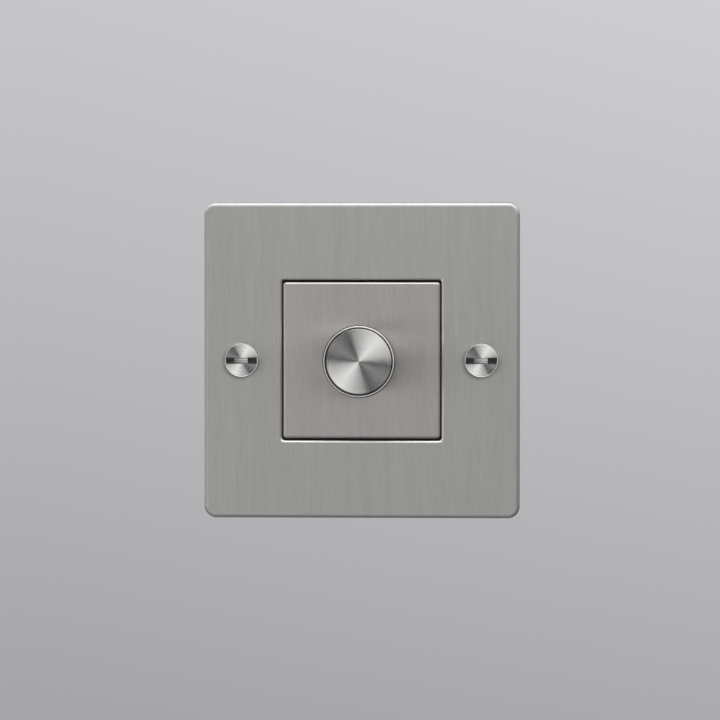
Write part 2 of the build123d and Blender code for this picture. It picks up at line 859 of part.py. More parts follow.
# Resistor: a moulded barrel on a bent wire
resistor_axis = board_front + resistor_diameter / 2 + chip_stand_off
with BuildPart() as feed_resistor:
    with BuildLine(Plane.XY.offset(resistor_height_on_board)):
        bent_wire = FilletPolyline(
            (-resistor_span / 2, -lead_back),
            (-resistor_span / 2, -resistor_axis),
            (resistor_span / 2, -resistor_axis),
            (resistor_span / 2, -lead_back),
            radius=resistor_diameter / 4,
        )
    with BuildSketch(Plane(bent_wire @ 0, z_dir=bent_wire % 0)):
        Circle(lead_diameter / 2)
    sweep(path=bent_wire)
    with Locations((0, -resistor_axis, resistor_height_on_board)):
        Cylinder(resistor_diameter / 2, resistor_length, rotation=(0, 90, 0))
write(feed_resistor, "feed_resistor")

# Heat sink: a plate on the bay's floor with a flange along its upper wall
bay_top = inside_half - ledge - heat_sink_play
bay_bottom = step_height + wall + heat_sink_play
with BuildPart() as heat_sink:
    with BuildSketch(Plane.YZ):
        with BuildLine():
            Polyline(
                (-bay_back, bay_bottom),
                (-bay_back, bay_top),
                (-bay_back - heat_sink_flange, bay_top),
                (-bay_back - heat_sink_flange, bay_top - heat_sink_thickness),
                (-sink_front, bay_top - heat_sink_thickness),
                (-sink_front, bay_bottom),
                close=True,
            )
        make_face()
    extrude(amount=heat_sink_width / 2, both=True)
write(heat_sink, "heat_sink")

# Power transistors: a body and a drilled tab flat on the heat sink, with three bent leads
lead_middle = sink_front + transistor_thickness / 2
with BuildPart() as power_transistors:
    with BuildSketch(ahead(sink_front)):
        with Locations((0, transistor_bottom)):
            with Locations((-transistor_pitch / 2, 0), (transistor_pitch / 2, 0)):
                Rectangle(transistor_width, transistor_length, align=(Align.CENTER, Align.MIN))
    extrude(amount=transistor_thickness)
    with BuildSketch(ahead(sink_front)):
        with Locations((0, transistor_bottom + transistor_length)):
            with Locations((-transistor_pitch / 2, 0), (transistor_pitch / 2, 0)):
                Rectangle(transistor_width, transistor_tab_length, align=(Align.CENTER, Align.MIN))
        with Locations((0, transistor_bottom + transistor_length + transistor_tab_length / 2)):
            with Locations((-transistor_pitch / 2, 0), (transistor_pitch / 2, 0)):
                Circle(transistor_hole / 2, mode=Mode.SUBTRACT)
    extrude(amount=transistor_tab_thickness)
    with BuildSketch(ahead(lead_middle - transistor_lead / 2)):
        with Locations(*transistor_feet):
            with Locations((0, -transistor_lead / 2)):
                Rectangle(transistor_lead, transistor_lead_run + transistor_lead, align=(Align.CENTER, Align.MIN))
    extrude(amount=transistor_lead)
    with BuildSketch(ahead(lead_middle)):
        with Locations(*transistor_feet):
            Rectangle(transistor_lead, transistor_lead)
    extrude(amount=board_front - lead_middle)
write(power_transistors, "power_transistors")

# Lid: closes the housing's front, with a lip inside the shell
with BuildPart() as housing_lid:
    with BuildSketch(ahead(lid_back)):
        outline(0)
    extrude(amount=lid_thickness)
    chamfer(housing_lid.faces().sort_by(Axis.Y)[0].edges(), lid_edge)
    with BuildSketch(ahead(lid_back - lip_depth)):
        outline(wall + lip_play)
        outline(wall + lip_play + lip_thickness, mode=Mode.SUBTRACT)
    extrude(amount=lip_depth)
    with BuildSketch(ahead(lid_back)):
        Circle(bush_hole_radius)
    extrude(amount=lid_thickness, mode=Mode.SUBTRACT)
write(housing_lid, "housing_lid")

# Catches on the shell's sides: a ramp in front, square behind
with BuildPart() as catches:
    with BuildSketch(Plane.XY.offset(tab_spacing / 2)):
        with BuildLine():
            Polyline(
                (housing_half - wall / 2, nib_front),
                (housing_half, nib_front),
                (housing_half + nib_reach, nib_front + nib_lead),
                (housing_half + nib_reach, nib_back),
                (housing_half - wall / 2, nib_back),
                close=True,
            )
        make_face()
    extrude(amount=nib_width / 2, both=True)
    mirror(about=Plane.YZ)
    mirror(about=Plane.XY)

# Shell: a moulded box, stepped at the bottom to make room for the wire terminals
with BuildPart() as housing_shell:
    with BuildSketch(ahead(shell_back)):
        outline(0)
    extrude(amount=lid_back - shell_back)
    chamfer(housing_shell.faces().sort_by(Axis.Y)[-1].edges(), back_edge)
    with BuildSketch(ahead(shell_back)):
        with Locations((0, step_height)):
            Rectangle(2 * housing_half, 2 * housing_half, align=(Align.CENTER, Align.MAX))
    extrude(amount=step_back - shell_back, mode=Mode.SUBTRACT)
    # low ribs between the terminals
    with BuildSketch(ahead(step_back - rib_height)):
        with Locations((-pillar_pitch / 2, pillar_height), (pillar_pitch / 2, pillar_height)):
            Rectangle(pillar_pitch - pillar_width - 2 * pillar_gap, pillar_length)
    extrude(amount=rib_height)
    # room in front of the board, behind it within the ledge, and for the heat sink
    with BuildSketch(ahead(board_back)):
        outline(wall)
    extrude(amount=lid_back - board_back, mode=Mode.SUBTRACT)
    with BuildSketch(ahead(solder_back)):
        outline(wall + ledge)
    extrude(amount=solder_room, mode=Mode.SUBTRACT)
    with BuildSketch(ahead(bay_back)):
        outline(wall + ledge)
        with Locations((0, step_height + wall)):
            Rectangle(2 * housing_half, 2 * housing_half, align=(Align.CENTER, Align.MAX), mode=Mode.SUBTRACT)
    extrude(amount=board_back - bay_back, mode=Mode.SUBTRACT)
    # holes for the terminals' feet, and vents in the upper wall
    with BuildSketch(ahead(step_back)):
        with Locations(*pillar_feet):
            Circle(pillar_foot_diameter / 2 + foot_play)
    extrude(amount=wall, mode=Mode.SUBTRACT)
    with BuildSketch(Plane.XY.offset(housing_half)):
        with Locations((0, -(bay_back + heat_sink_flange + solder_back) / 2)):
            with GridLocations(vent_pitch, vent_pitch, vent_count, 1):
                SlotOverall(vent_length, vent_width, rotation=90)
    extrude(amount=-wall - ledge, mode=Mode.SUBTRACT)
    add(catches.part)
write(housing_shell, "housing_shell")

# One bent tab of the strap, with a window for the catch, mirrored to all four
with BuildPart() as tabs:
    with BuildSketch(Plane.XY.offset(tab_spacing / 2)) as bend:
        with BuildLine():
            Polyline(
                (tab_root, -strap_front),
                (tab_outer, -strap_front),
                (tab_outer, -tab_back),
                (tab_inner, -tab_back),
                (tab_inner, -strap_setback),
                (tab_root, -strap_setback),
                close=True,
            )
        make_face()
        fillet(corner(bend, tab_outer, -strap_front), bend_radius + strap_thickness)
        fillet(corner(bend, tab_inner, -strap_setback), bend_radius)
    extrude(amount=tab_width / 2, both=True)
    with BuildSketch(Plane.YZ.offset(tab_inner)):
        with Locations(((nib_front + nib_back) / 2, tab_spacing / 2)):
            Rectangle(nib_back - nib_front + 2 * nib_play, nib_width + 2 * nib_play)
    extrude(amount=strap_thickness, mode=Mode.SUBTRACT)
    mirror(about=Plane.YZ)
    mirror(about=Plane.XY)

# Strap: a steel square with slots for the fixing screws and openings left by the bent tabs
blank_end = tab_outer + tab_length
with BuildPart() as mounting_strap:
    with BuildSketch(ahead(strap_setback)):
        RectangleRounded(strap_side, strap_side, strap_corner)
        Circle(bush_hole_radius, mode=Mode.SUBTRACT)
        with Locations((-fixing_centres / 2, 0), (fixing_centres / 2, 0)):
            SlotOverall(fixing_slot_length, 2 * screw_hole_radius, rotation=90, mode=Mode.SUBTRACT)
        with GridLocations(tab_root + blank_end, tab_spacing, 2, 2):
            Rectangle(blank_end - tab_root, tab_width + 2 * tab_relief, mode=Mode.SUBTRACT)
        with Locations((0, earth_height)):
            Circle(rivet_diameter / 2 + foot_play, mode=Mode.SUBTRACT)
    extrude(amount=strap_thickness)
    add(tabs.part)
write(mounting_strap, "mounting_strap")

# One wire terminal: a pillar standing back from its foot at the wall, its wire hole along X
with BuildPart() as pillar:
    with BuildSketch(ahead(-pillar_depth)):
        Rectangle(pillar_length, pillar_width)
    extrude(amount=pillar_depth)
    chamfer(pillar.edges().filter_by(Axis.X), pillar_edge)
    with BuildSketch(Plane.YZ):
        with Locations((pillar_floor + wire_hole / 2, 0)):
            Circle(wire_hole / 2)
    extrude(amount=pillar_length, both=True, mode=Mode.SUBTRACT)
    with BuildSketch(ahead(-pillar_depth)):
        Circle(clamp_diameter / 2 + clamp_play)
    extrude(amount=pillar_clamp + wire_hole / 2, mode=Mode.SUBTRACT)

# Its clamping screw, backed off so that the wire hole is free
clamp_reach = pillar_clamp - pillar_edge
with BuildPart() as clamp:
    with BuildSketch(turning) as half_clamp:
        with BuildLine():
            Polyline(
                (0, clamp_reach - pillar_depth),
                (clamp_diameter / 2, clamp_reach - pillar_depth),
                (clamp_diameter / 2, -pillar_depth),
                (clamp_head_diameter / 2, -pillar_depth),
                (clamp_head_diameter / 2, -pillar_depth - clamp_head_height),
                (0, -pillar_depth - clamp_head_height),
                close=True,
            )
        make_face()
        chamfer(corner(half_clamp, clamp_diameter / 2, clamp_reach - pillar_depth), pillar_edge)
        chamfer(corner(half_clamp, clamp_head_diameter / 2, -pillar_depth - clamp_head_height), pillar_edge)
    revolve(axis=Axis.Y)
    with BuildSketch(ahead(-pillar_depth - clamp_head_height)):
        Rectangle(clamp_head_diameter, clamp_slot_width)
    extrude(amount=clamp_slot_depth, mode=Mode.SUBTRACT)

# Three terminals on the shell's step, their wire holes open downwards
pillar_places = [Location((x, -step_back, height), (0, 90, 0)) for x, height in pillar_feet]
with BuildPart() as terminal_cages:
    with Locations(*pillar_places):
        add(pillar.part)
    with BuildSketch(ahead(step_back)):
        with Locations(*pillar_feet):
            Circle(pillar_foot_diameter / 2)
    extrude(amount=board_front - step_back)
write(terminal_cages, "terminal_cages")

with BuildPart() as terminal_screws:
    with Locations(*pillar_places):
        add(clamp.part)
write(terminal_screws, "terminal_screws")

# Earth terminal, riveted to the back of the strap above the housing
with BuildPart() as earth_terminal:
    with Locations((0, -strap_setback, earth_height)):
        add(pillar.part)
    with BuildSketch(ahead(strap_setback)):
        with Locations((0, earth_height)):
            Circle(rivet_diameter / 2)
    extrude(amount=strap_thickness)
write(earth_terminal, "earth_terminal")

with BuildPart() as earth_screw:
    with Locations((0, -strap_setback, earth_height)):
        add(clamp.part)
write(earth_screw, "earth_screw")
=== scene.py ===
import math

import bmesh
import bpy
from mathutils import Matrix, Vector


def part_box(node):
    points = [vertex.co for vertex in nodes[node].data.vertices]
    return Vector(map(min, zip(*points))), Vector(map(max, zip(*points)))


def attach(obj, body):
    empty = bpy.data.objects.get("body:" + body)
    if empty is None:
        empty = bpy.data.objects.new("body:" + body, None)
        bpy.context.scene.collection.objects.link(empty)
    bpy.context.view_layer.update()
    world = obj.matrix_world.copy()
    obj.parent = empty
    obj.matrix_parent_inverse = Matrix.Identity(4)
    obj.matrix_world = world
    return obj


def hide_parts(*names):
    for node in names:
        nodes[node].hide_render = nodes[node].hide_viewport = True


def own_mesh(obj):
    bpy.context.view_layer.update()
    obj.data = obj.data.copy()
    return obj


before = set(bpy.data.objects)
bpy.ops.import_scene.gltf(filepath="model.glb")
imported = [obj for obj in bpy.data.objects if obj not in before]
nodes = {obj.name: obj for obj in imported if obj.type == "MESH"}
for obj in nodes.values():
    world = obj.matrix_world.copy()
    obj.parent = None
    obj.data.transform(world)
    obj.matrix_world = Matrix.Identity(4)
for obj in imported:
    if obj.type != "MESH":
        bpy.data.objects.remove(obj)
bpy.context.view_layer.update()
scene = bpy.context.scene
scene.view_settings.view_transform = "Standard"
mm = 0.001
print("frame loaded:", len(nodes), "solids from the CAD")


# Small helpers for node trees, materials and objects

def setInputs(node, values):
    for key, value in values.items():
        if isinstance(value, bpy.types.NodeSocket):
            node.id_data.links.new(value, node.inputs[key])
        else:
            node.inputs[key].default_value = value


def addNode(tree, kind, values=None, **settings):
    node = tree.nodes.new(kind)
    for key, value in settings.items():
        setattr(node, key, value)
    setInputs(node, values or {})
    return node


def nextNode(kind, values, **settings):
    # a node in the same tree as the sockets among its values
    sockets = [value for value in values.values() if isinstance(value, bpy.types.NodeSocket)]
    return addNode(sockets[0].id_data, kind, values, **settings)


def maths(operation, first, second=0.0, clamp=False):
    values = {0: first, 1: second}
    return nextNode("ShaderNodeMath", values, operation=operation, use_clamp=clamp).outputs[0]


def times(first, second):
    return maths("MULTIPLY", first, second)


def plus(first, second):
    return maths("ADD", first, second)


def minus(first, second):
    return maths("SUBTRACT", first, second)


def vectors(operation, first, second=None):
    values = {0: first}
    if second is not None:
        values["Scale" if operation == "SCALE" else 1] = second
    node = nextNode("ShaderNodeVectorMath", values, operation=operation)
    return node.outputs["Value" if operation in ("LENGTH", "DOT_PRODUCT") else "Vector"]


def ramp(value, low, high, first=0.0, last=1.0, kind="LINEAR"):
    # first up to low, last from high on
    values = {"Value": value, 1: low, 2: high, 3: first, 4: last}
    return nextNode("ShaderNodeMapRange", values, interpolation_type=kind).outputs[0]


def split(vector):
    return nextNode("ShaderNodeSeparateXYZ", {0: vector}).outputs


def join(x=0.0, y=0.0, z=0.0):
    return nextNode("ShaderNodeCombineXYZ", {0: x, 1: y, 2: z}).outputs[0]


def noise(vector, detail, scale=1.0, roughness=0.5):
    values = {"Vector": vector, "Scale": scale, "Detail": detail, "Roughness": roughness}
    return nextNode("ShaderNodeTexNoise", values).outputs[0]


def lineNoise(value, detail):
    values = {"W": value, "Scale": 1.0, "Detail": detail}
    return nextNode("ShaderNodeTexNoise", values, noise_dimensions="1D").outputs[0]


def centred(value):
    # noise that swings to either side of zero
    return minus(value, 0.5)


def surfaceNormal(tree):
    return addNode(tree, "ShaderNodeNewGeometry").outputs["Normal"]


def objectPlace(tree):
    return addNode(tree, "ShaderNodeTexCoord").outputs["Object"]


def toWorld(tree, vector):
    return addNode(tree, "ShaderNodeVectorTransform", {0: vector}, vector_type="VECTOR",
                   convert_from="OBJECT", convert_to="WORLD").outputs[0]


def newTree(name, inputs, outputs, kind="ShaderNodeTree"):
    # a node tree with named sockets: a number is an input's default, a word is its kind
    tree = bpy.data.node_groups.new(name, kind)
    for label, default in inputs.items():
        fixed = {int: "Int", float: "Float"}.get(type(default))
        wanted = "NodeSocket" + (fixed or default)
        socket = tree.interface.new_socket(name=label, in_out="INPUT", socket_type=wanted)
        if fixed:
            socket.default_value = default
    for label in outputs:
        wanted = "NodeSocket" + {"Normal": "Vector", "Geometry": "Geometry"}.get(label, "Float")
        tree.interface.new_socket(name=label, in_out="OUTPUT", socket_type=wanted)
    return tree, tree.nodes.new("NodeGroupInput").outputs, tree.nodes.new("NodeGroupOutput")


def blankMaterial(name):
    material = bpy.data.materials.new(name)
    material.use_nodes = True
    material.node_tree.nodes.clear()
    return material, material.node_tree


def newObject(name, data):
    thing = bpy.data.objects.new(name, data)
    scene.collection.objects.link(thing)
    return thing


def aimAt(thing, direction):
    thing.rotation_mode = "QUATERNION"
    thing.rotation_quaternion = direction.to_track_quat("-Z", "Y")


def tone(red, green, blue):
    # a colour written as it should look on screen, 0 to 255
    def linear(level):
        share = level / 255
        return share / 12.92 if share <= 0.04045 else ((share + 0.055) / 1.055) ** 2.4
    return (linear(red), linear(green), linear(blue), 1.0)


# Camera at the photograph's angle

cameraView = {
    "distance": 1.1,  # metres from the plate's face
    "field": 0.180,  # metres across the picture at the plate
    "right": 3.2, "above": 1.55,  # degrees off the plate's normal
    "aim": (-0.4 * mm, 0.06 * mm),  # X and Z of the plate in the picture's middle
    "sensor": 36.0,
}


def makeCamera(view):
    camera = newObject("camera", bpy.data.cameras.new("camera"))
    camera.data.sensor_width = view["sensor"]
    camera.data.lens = view["sensor"] * view["distance"] / view["field"]
    turn = math.radians(view["right"])
    lift = math.radians(view["above"])
    back = Vector((math.sin(turn) * math.cos(lift), -math.cos(turn) * math.cos(lift), math.sin(lift)))
    aim = Vector((view["aim"][0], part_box("front_plate")[0].y, view["aim"][1]))
    camera.location = aim + back * view["distance"]
    aimAt(camera, -back)
    scene.camera = camera


makeCamera(cameraView)
print("camera placed")


# Studio: a soft grey wall of light, dimmer behind the camera, a pale floor and soft panels

wallLight = {
    # tones by the height of the direction, from straight down to straight up
    "tones": [
        (-1.0, tone(96, 96, 98)), (-0.3, tone(140, 140, 142)), (-0.112, tone(167, 167, 170)),
        (0.058, tone(203, 203, 206)), (0.3, tone(206, 206, 208)), (1.0, tone(200, 200, 202)),
    ],
    "leftToRight": (-0.13, 0.03, 0.955, 1.045),  # the wall is a little lighter to the right
    "frontToSide": (-0.85, -0.1, 0.19, 1.0),     # the room behind the camera is dim
}

floorDisc = {"height": -0.45, "radius": 1.25, "solidTo": 0.35, "colour": tone(176, 176, 178)}

# fans of light behind the camera, in degrees from the right, each strongest at its peak: the key up to
# the right, its echo down to the left and two weak ones between them
lightFans = {
    "ahead": 3.4, "reach": 5.2, "steps": 12,
    "fans": {
        "keyFan": {"from": 8.0, "peak": 50.0, "to": 104.5, "strength": 1.96, "rim": 0.3},
        "echoFan": {"from": 178.0, "peak": 227.0, "to": 290.0, "strength": 1.32, "rim": 0.22},
        "weakFan": {"from": 117.0, "peak": 147.0, "to": 164.0, "strength": 0.36, "rim": 0.3},
        "faintFan": {"from": 297.0, "peak": 328.0, "to": 350.0, "strength": 0.52, "rim": 0.4},
    },
}
# low strips to the left and right of the camera, which the upright brushing spreads over the plate
sideStrips = {
    "ahead": 3.36, "from": 1.2, "to": 4.8, "tall": 0.64, "slope": 0.18,
    "strips": {"leftStrip": {"side": -1, "strength": 1.06}, "rightStrip": {"side": 1, "strength": 1.2}},
}
softPanels = {
    "roofPanel": {"place": (0.0, -0.22, 0.56), "size": (0.9, 0.7), "watts": 3.7},
    "fillPanel": {"place": (-0.6, -0.3, 0.14), "size": (0.5, 0.6), "watts": 0.35},
    "backPanel": {"place": (-0.5, 0.62, 0.5), "size": (1.0, 0.8), "watts": 1.3},
}


def makeWall(wall):
    world = bpy.data.worlds.new("greyWall")
    scene.world = world
    world.use_nodes = True
    tree = world.node_tree
    tree.nodes.clear()
    parts = split(addNode(tree, "ShaderNodeTexCoord").outputs["Generated"])
    height = plus(times(parts["Z"], 0.5), 0.5)  # 0 straight down, 1 straight up
    tones = addNode(tree, "ShaderNodeValToRGB", {0: height})
    stops = tones.color_ramp.elements
    while len(stops) < len(wall["tones"]):
        stops.new(0.5)
    for stop, (level, colour) in zip(stops, wall["tones"]):
        stop.position = level / 2 + 0.5
        stop.color = colour
    side = ramp(parts["X"], *wall["leftToRight"])
    depth = ramp(parts["Y"], *wall["frontToSide"], "SMOOTHSTEP")
    # seen straight on, the backdrop keeps its tone all round
    seen = addNode(tree, "ShaderNodeLightPath").outputs["Is Camera Ray"]
    level = times(side, maths("MAXIMUM", depth, seen))
    light = addNode(tree, "ShaderNodeBackground", {"Color": tones.outputs[0], "Strength": level})
    addNode(tree, "ShaderNodeOutputWorld", {"Surface": light.outputs[0]})


def stageMesh(name, points, faces, material):
    mesh = bpy.data.meshes.new(name)
    mesh.from_pydata(points, [], faces)
    mesh.materials.append(material)
    thing = newObject(name, mesh)
    return thing


def makeFloor(floor):
    material, tree = blankMaterial("paleFloor")
    away = vectors("LENGTH", vectors("MULTIPLY", objectPlace(tree), (1.0, 1.0, 0.0)))
    fade = ramp(away, floor["solidTo"], floor["radius"], kind="SMOOTHSTEP")
    matt = addNode(tree, "ShaderNodeBsdfDiffuse", {"Color": floor["colour"]})
    clear = addNode(tree, "ShaderNodeBsdfTransparent")
    blend = addNode(tree, "ShaderNodeMixShader", {0: fade, 1: matt.outputs[0], 2: clear.outputs[0]})
    addNode(tree, "ShaderNodeOutputMaterial", {"Surface": blend.outputs[0]})
    half = floor["radius"]
    corners = [(-half, -half), (half, -half), (half, half), (-half, half)]
    stageMesh("floor", [(x, y, floor["height"]) for x, y in corners], [(0, 1, 2, 3)], material)


def hangGlow(name, points, faces, material, strength):
    # a glowing sheet that the camera doesn't see
    tree = material.node_tree
    glow = addNode(tree, "ShaderNodeEmission", {"Strength": strength})
    addNode(tree, "ShaderNodeOutputMaterial", {"Surface": glow.outputs[0]})
    stageMesh(name, points, faces, material).visible_camera = False


def makeFan(name, fan, rig):
    # the fan's point is where the knob's face mirrors the camera
    pointX, pointZ = (-rig["ahead"] * math.tan(math.radians(cameraView[key])) for key in ("right", "above"))
    point = (pointX, -rig["ahead"], pointZ)
    first, peak, last = (math.radians(fan[key]) for key in ("from", "peak", "to"))
    material, tree = blankMaterial(name)
    outward = vectors("NORMALIZE", vectors("SUBTRACT", objectPlace(tree), point))
    along = vectors("DOT_PRODUCT", outward, (math.cos(peak), 0.0, math.sin(peak)))
    widest = max(peak - first, last - peak)
    rim = fan["strength"] * fan["rim"]
    fall = ramp(maths("ARCCOSINE", along), 0.0, widest, fan["strength"], rim)
    points, steps, reach = [point], rig["steps"], rig["reach"]
    for step in range(steps + 1):
        turn = first + (last - first) * step / steps
        points.append((pointX + reach * math.cos(turn), point[1], pointZ + reach * math.sin(turn)))
    hangGlow(name, points, [(0, step + 1, step + 2) for step in range(steps)], material, fall)


def makeStrip(name, strip, rig):
    near, far = strip["side"] * rig["from"], strip["side"] * rig["to"]
    half = rig["tall"] / 2
    low, high = near * rig["slope"], far * rig["slope"]
    corners = [(near, low - half), (far, high - half), (far, high + half), (near, low + half)]
    points = [(x, -rig["ahead"], z) for x, z in corners]
    hangGlow(name, points, [(0, 1, 2, 3)], blankMaterial(name)[0], strip["strength"])


def makeLamp(name, panel):
    lamp = bpy.data.lights.new(name, "AREA")
    lamp.shape = "RECTANGLE"
    lamp.size, lamp.size_y = panel["size"]
    lamp.energy = panel["watts"]
    holder = newObject(name, lamp)
    holder.location = panel["place"]
    aimAt(holder, -holder.location)
    holder.visible_camera = False


makeWall(wallLight)
makeFloor(floorDisc)
for name, fan in lightFans["fans"].items():
    makeFan(name, fan, lightFans)
for name, strip in sideStrips["strips"].items():
    makeStrip(name, strip, sideStrips)
for name, panel in softPanels.items():
    makeLamp(name, panel)
print("studio lit")


# Shared effects, as node groups

grainCut = {
    "detail": 3.0, "roughness": 0.6,
    "strand": 0.13, "strandDetail": 2.0,  # broad strands, as a share of the hairs' scale
    "tiltFrom": (31.7, 5.3, 11.9),        # where the tilt's own noise starts
}


def makeBrushedGrain(cut):
    tree, given, made = newTree(
        "brushedGrain",
        {"Place": "Vector", "Across": 4000.0, "Along": 40.0, "Strands": 0.4,
         "Tone": 0.06, "Gloss": 0.05, "Slope": 0.05},
        ["Shade", "Rough", "Normal"])
    stretch = join(given["Across"], given["Across"], given["Along"])
    hair = vectors("MULTIPLY", given["Place"], stretch)
    moved = vectors("ADD", hair, cut["tiltFrom"])
    fine, other = (centred(noise(start, cut["detail"], roughness=cut["roughness"]))
                   for start in (hair, moved))
    broad = noise(vectors("SCALE", hair, cut["strand"]), cut["strandDetail"])
    strands = times(centred(broad), given["Strands"])
    shade = times(plus(fine, strands), given["Tone"])
    sideways = join(times(other, given["Slope"]))
    tilted = vectors("ADD", surfaceNormal(tree), sideways)
    setInputs(made, {"Shade": plus(shade, 1.0), "Rough": times(fine, given["Gloss"]),
                     "Normal": vectors("NORMALIZE", tilted)})
    return tree


def fromAxis(place, centre):
    # radius and outward direction from the nearest of two axes along Y, at X = centre and -centre
    parts = split(place)
    across = minus(parts["X"], times(maths("SIGN", parts["X"]), centre))
    flat = join(across, 0.0, parts["Z"])
    return vectors("LENGTH", flat), vectors("NORMALIZE", flat)


markCut = {"ringDetail": 2.0, "spokes": 6.0, "spokeDetail": 2.0, "grooveDetail": 1.0}


def makeTurnedMarks(cut):
    tree, given, made = newTree(
        "turnedMarks",
        {"Place": "Vector", "Centre": 0.0, "Rings": 9000.0, "Tone": 0.06, "Gloss": 0.05,
         "Grooves": 10000.0, "Slope": 0.0},
        ["Shade", "Rough", "Tilt"])
    radius, direction = fromAxis(given["Place"], given["Centre"])
    ring = lineNoise(times(radius, given["Rings"]), cut["ringDetail"])
    spoke = noise(vectors("SCALE", direction, cut["spokes"]), cut["spokeDetail"])
    shade = times(minus(plus(ring, spoke), 1.0), given["Tone"])
    rough = times(centred(ring), given["Gloss"])
    # the tool's fine grooves tip the surface inwards and outwards
    groove = lineNoise(times(radius, given["Grooves"]), cut["grooveDetail"])
    tilt = times(centred(groove), given["Slope"])
    setInputs(made, {"Shade": plus(shade, 1.0), "Rough": rough, "Tilt": tilt})
    return tree


mottleCut = {"cloudDetail": 4.0, "gritDetail": 2.0, "patch": (0.42, 0.68)}


def makeMottle(cut):
    tree, given, made = newTree(
        "mottle", {"Place": "Vector", "Cloud": 150.0, "Grit": 6000.0, "Tone": 0.08, "Gloss": 0.08},
        ["Shade", "Rough", "Height", "Patch"])
    cloud = noise(given["Place"], cut["cloudDetail"], given["Cloud"])
    grit = noise(given["Place"], cut["gritDetail"], given["Grit"])
    swing = centred(cloud)
    setInputs(made, {"Shade": plus(times(swing, given["Tone"]), 1.0), "Rough": times(swing, given["Gloss"]),
                     "Height": grit, "Patch": ramp(cloud, *cut["patch"])})
    return tree


wearCut = {"samples": 6, "bend": (0.995, 0.85)}  # cosines where the wear starts and is full


def makeEdgeWear(cut):
    # where a face bends round into the next, and the normal that rounds the corner off
    tree, given, made = newTree("edgeWear", {"Radius": 0.2 * mm}, ["Edge", "Normal"])
    rounded = nextNode("ShaderNodeBevel", {"Radius": given["Radius"]}, samples=cut["samples"]).outputs[0]
    bend = vectors("DOT_PRODUCT", rounded, surfaceNormal(tree))
    setInputs(made, {"Edge": ramp(bend, *cut["bend"]), "Normal": rounded})
    return tree


pinFacing = 0.95  # how squarely a face looks towards +Y to show its pins


def makePinMarks():
    # rings that a mould's ejector pins leave on the faces towards +Y
    tree, given, made = newTree(
        "pinMarks", {"Place": "Vector", "Pitch": 17.0 * mm, "Pin": 2.0 * mm, "Line": 0.16 * mm}, ["Ring"])
    parts = split(given["Place"])
    halfPitch = times(given["Pitch"], 0.5)
    offsets = [minus(maths("FLOORED_MODULO", parts[axis], given["Pitch"]), halfPitch) for axis in "XZ"]
    away = vectors("LENGTH", join(*offsets))
    off = maths("ABSOLUTE", minus(away, given["Pin"]))
    ring = maths("LESS_THAN", off, given["Line"])
    back = maths("GREATER_THAN", split(surfaceNormal(tree))["Y"], pinFacing)
    setInputs(made, {"Ring": times(ring, back)})
    return tree


pourCut = {"randomness": 0.8, "gap": 0.13}


def makeCopperPours(cut):
    # copper areas under the board's lacquer, with thin gaps between them
    tree, given, made = newTree("copperPours", {"Place": "Vector", "Scale": 190.0}, ["Copper"])
    flat = vectors("MULTIPLY", given["Place"], (1.0, 0.0, 1.0))
    values = {"Vector": flat, "Scale": given["Scale"], "Randomness": cut["randomness"]}
    near, far = (nextNode("ShaderNodeTexVoronoi", values, feature=feature, distance="MANHATTAN")
                 .outputs["Distance"] for feature in ("F1", "F2"))
    setInputs(made, {"Copper": maths("GREATER_THAN", minus(far, near), cut["gap"])})
    return tree


edgeWear = makeEdgeWear(wearCut)
pinMarks = makePinMarks()
copperPours = makeCopperPours(pourCut)
brushedGrain = makeBrushedGrain(grainCut)
turnedMarks = makeTurnedMarks(markCut)
mottle = makeMottle(mottleCut)
print("shared effects built")


# Materials

def newMaterial(name):
    material, tree = blankMaterial(name)
    shader = addNode(tree, "ShaderNodeBsdfPrincipled")
    addNode(tree, "ShaderNodeOutputMaterial", {"Surface": shader.outputs[0]})
    return material, tree, shader, objectPlace(tree)


def useGroup(tree, group, values):
    return addNode(tree, "ShaderNodeGroup", values, node_tree=group).outputs


def tinted(colour, shade):
    # the finish's own colour, lighter and darker as the shade says
    return vectors("SCALE", colour[:3] if isinstance(colour, tuple) else colour, shade)


def setMetal(shader, look, shade, change, normal, tangent):
    setInputs(shader, {
        "Base Color": tinted(look["colour"], shade), "Metallic": 1.0, "Anisotropic": look["stretch"],
        "Roughness": maths("ADD", change, look["rough"], clamp=True),
        "Normal": normal, "Tangent": toWorld(shader.id_data, tangent)})


def between(value, low, high):
    over = maths("GREATER_THAN", value, low)
    return times(over, maths("LESS_THAN", value, high))


def fromLine(place, centreX, centreZ):
    # distance from a line along Y
    moved = vectors("SUBTRACT", place, (centreX, 0.0, centreZ))
    return vectors("LENGTH", vectors("MULTIPLY", moved, (1.0, 0.0, 1.0)))


def mix(share, first, second, kind="FLOAT"):
    place = ("FLOAT", "VECTOR", "RGBA").index(kind)  # each kind has two inputs and an output of its own
    values = {0: share, 2 + 2 * place: first, 3 + 2 * place: second}
    return nextNode("ShaderNodeMix", values, data_type=kind).outputs[place]


def zoneMask(place, zone):
    # 1 inside a zone of the part, given in millimetres along the axes and round a line along Y
    parts = split(place)
    mask = 1.0
    for axis in "XYZ":
        if axis in zone:
            low, high = zone[axis]
            mask = times(between(parts[axis], low * mm, high * mm), mask)
    if "round" in zone:
        centreX, centreZ, inner, outer = (length * mm for length in zone["round"])
        mask = times(between(fromLine(place, centreX, centreZ), inner, outer), mask)
    return mask


# painted shade: edges that look away from the light are darker, by how far they look this way
paintedEdgeShade = {"towards": (0.5, 0.0, -0.85), "from": 0.2, "to": 0.95, "left": 0.38}
# the gloss spreads across the brushing: along X on the face, along Y on the left and right sides
brushedTangent = (1.0, 0.2, 0.0)


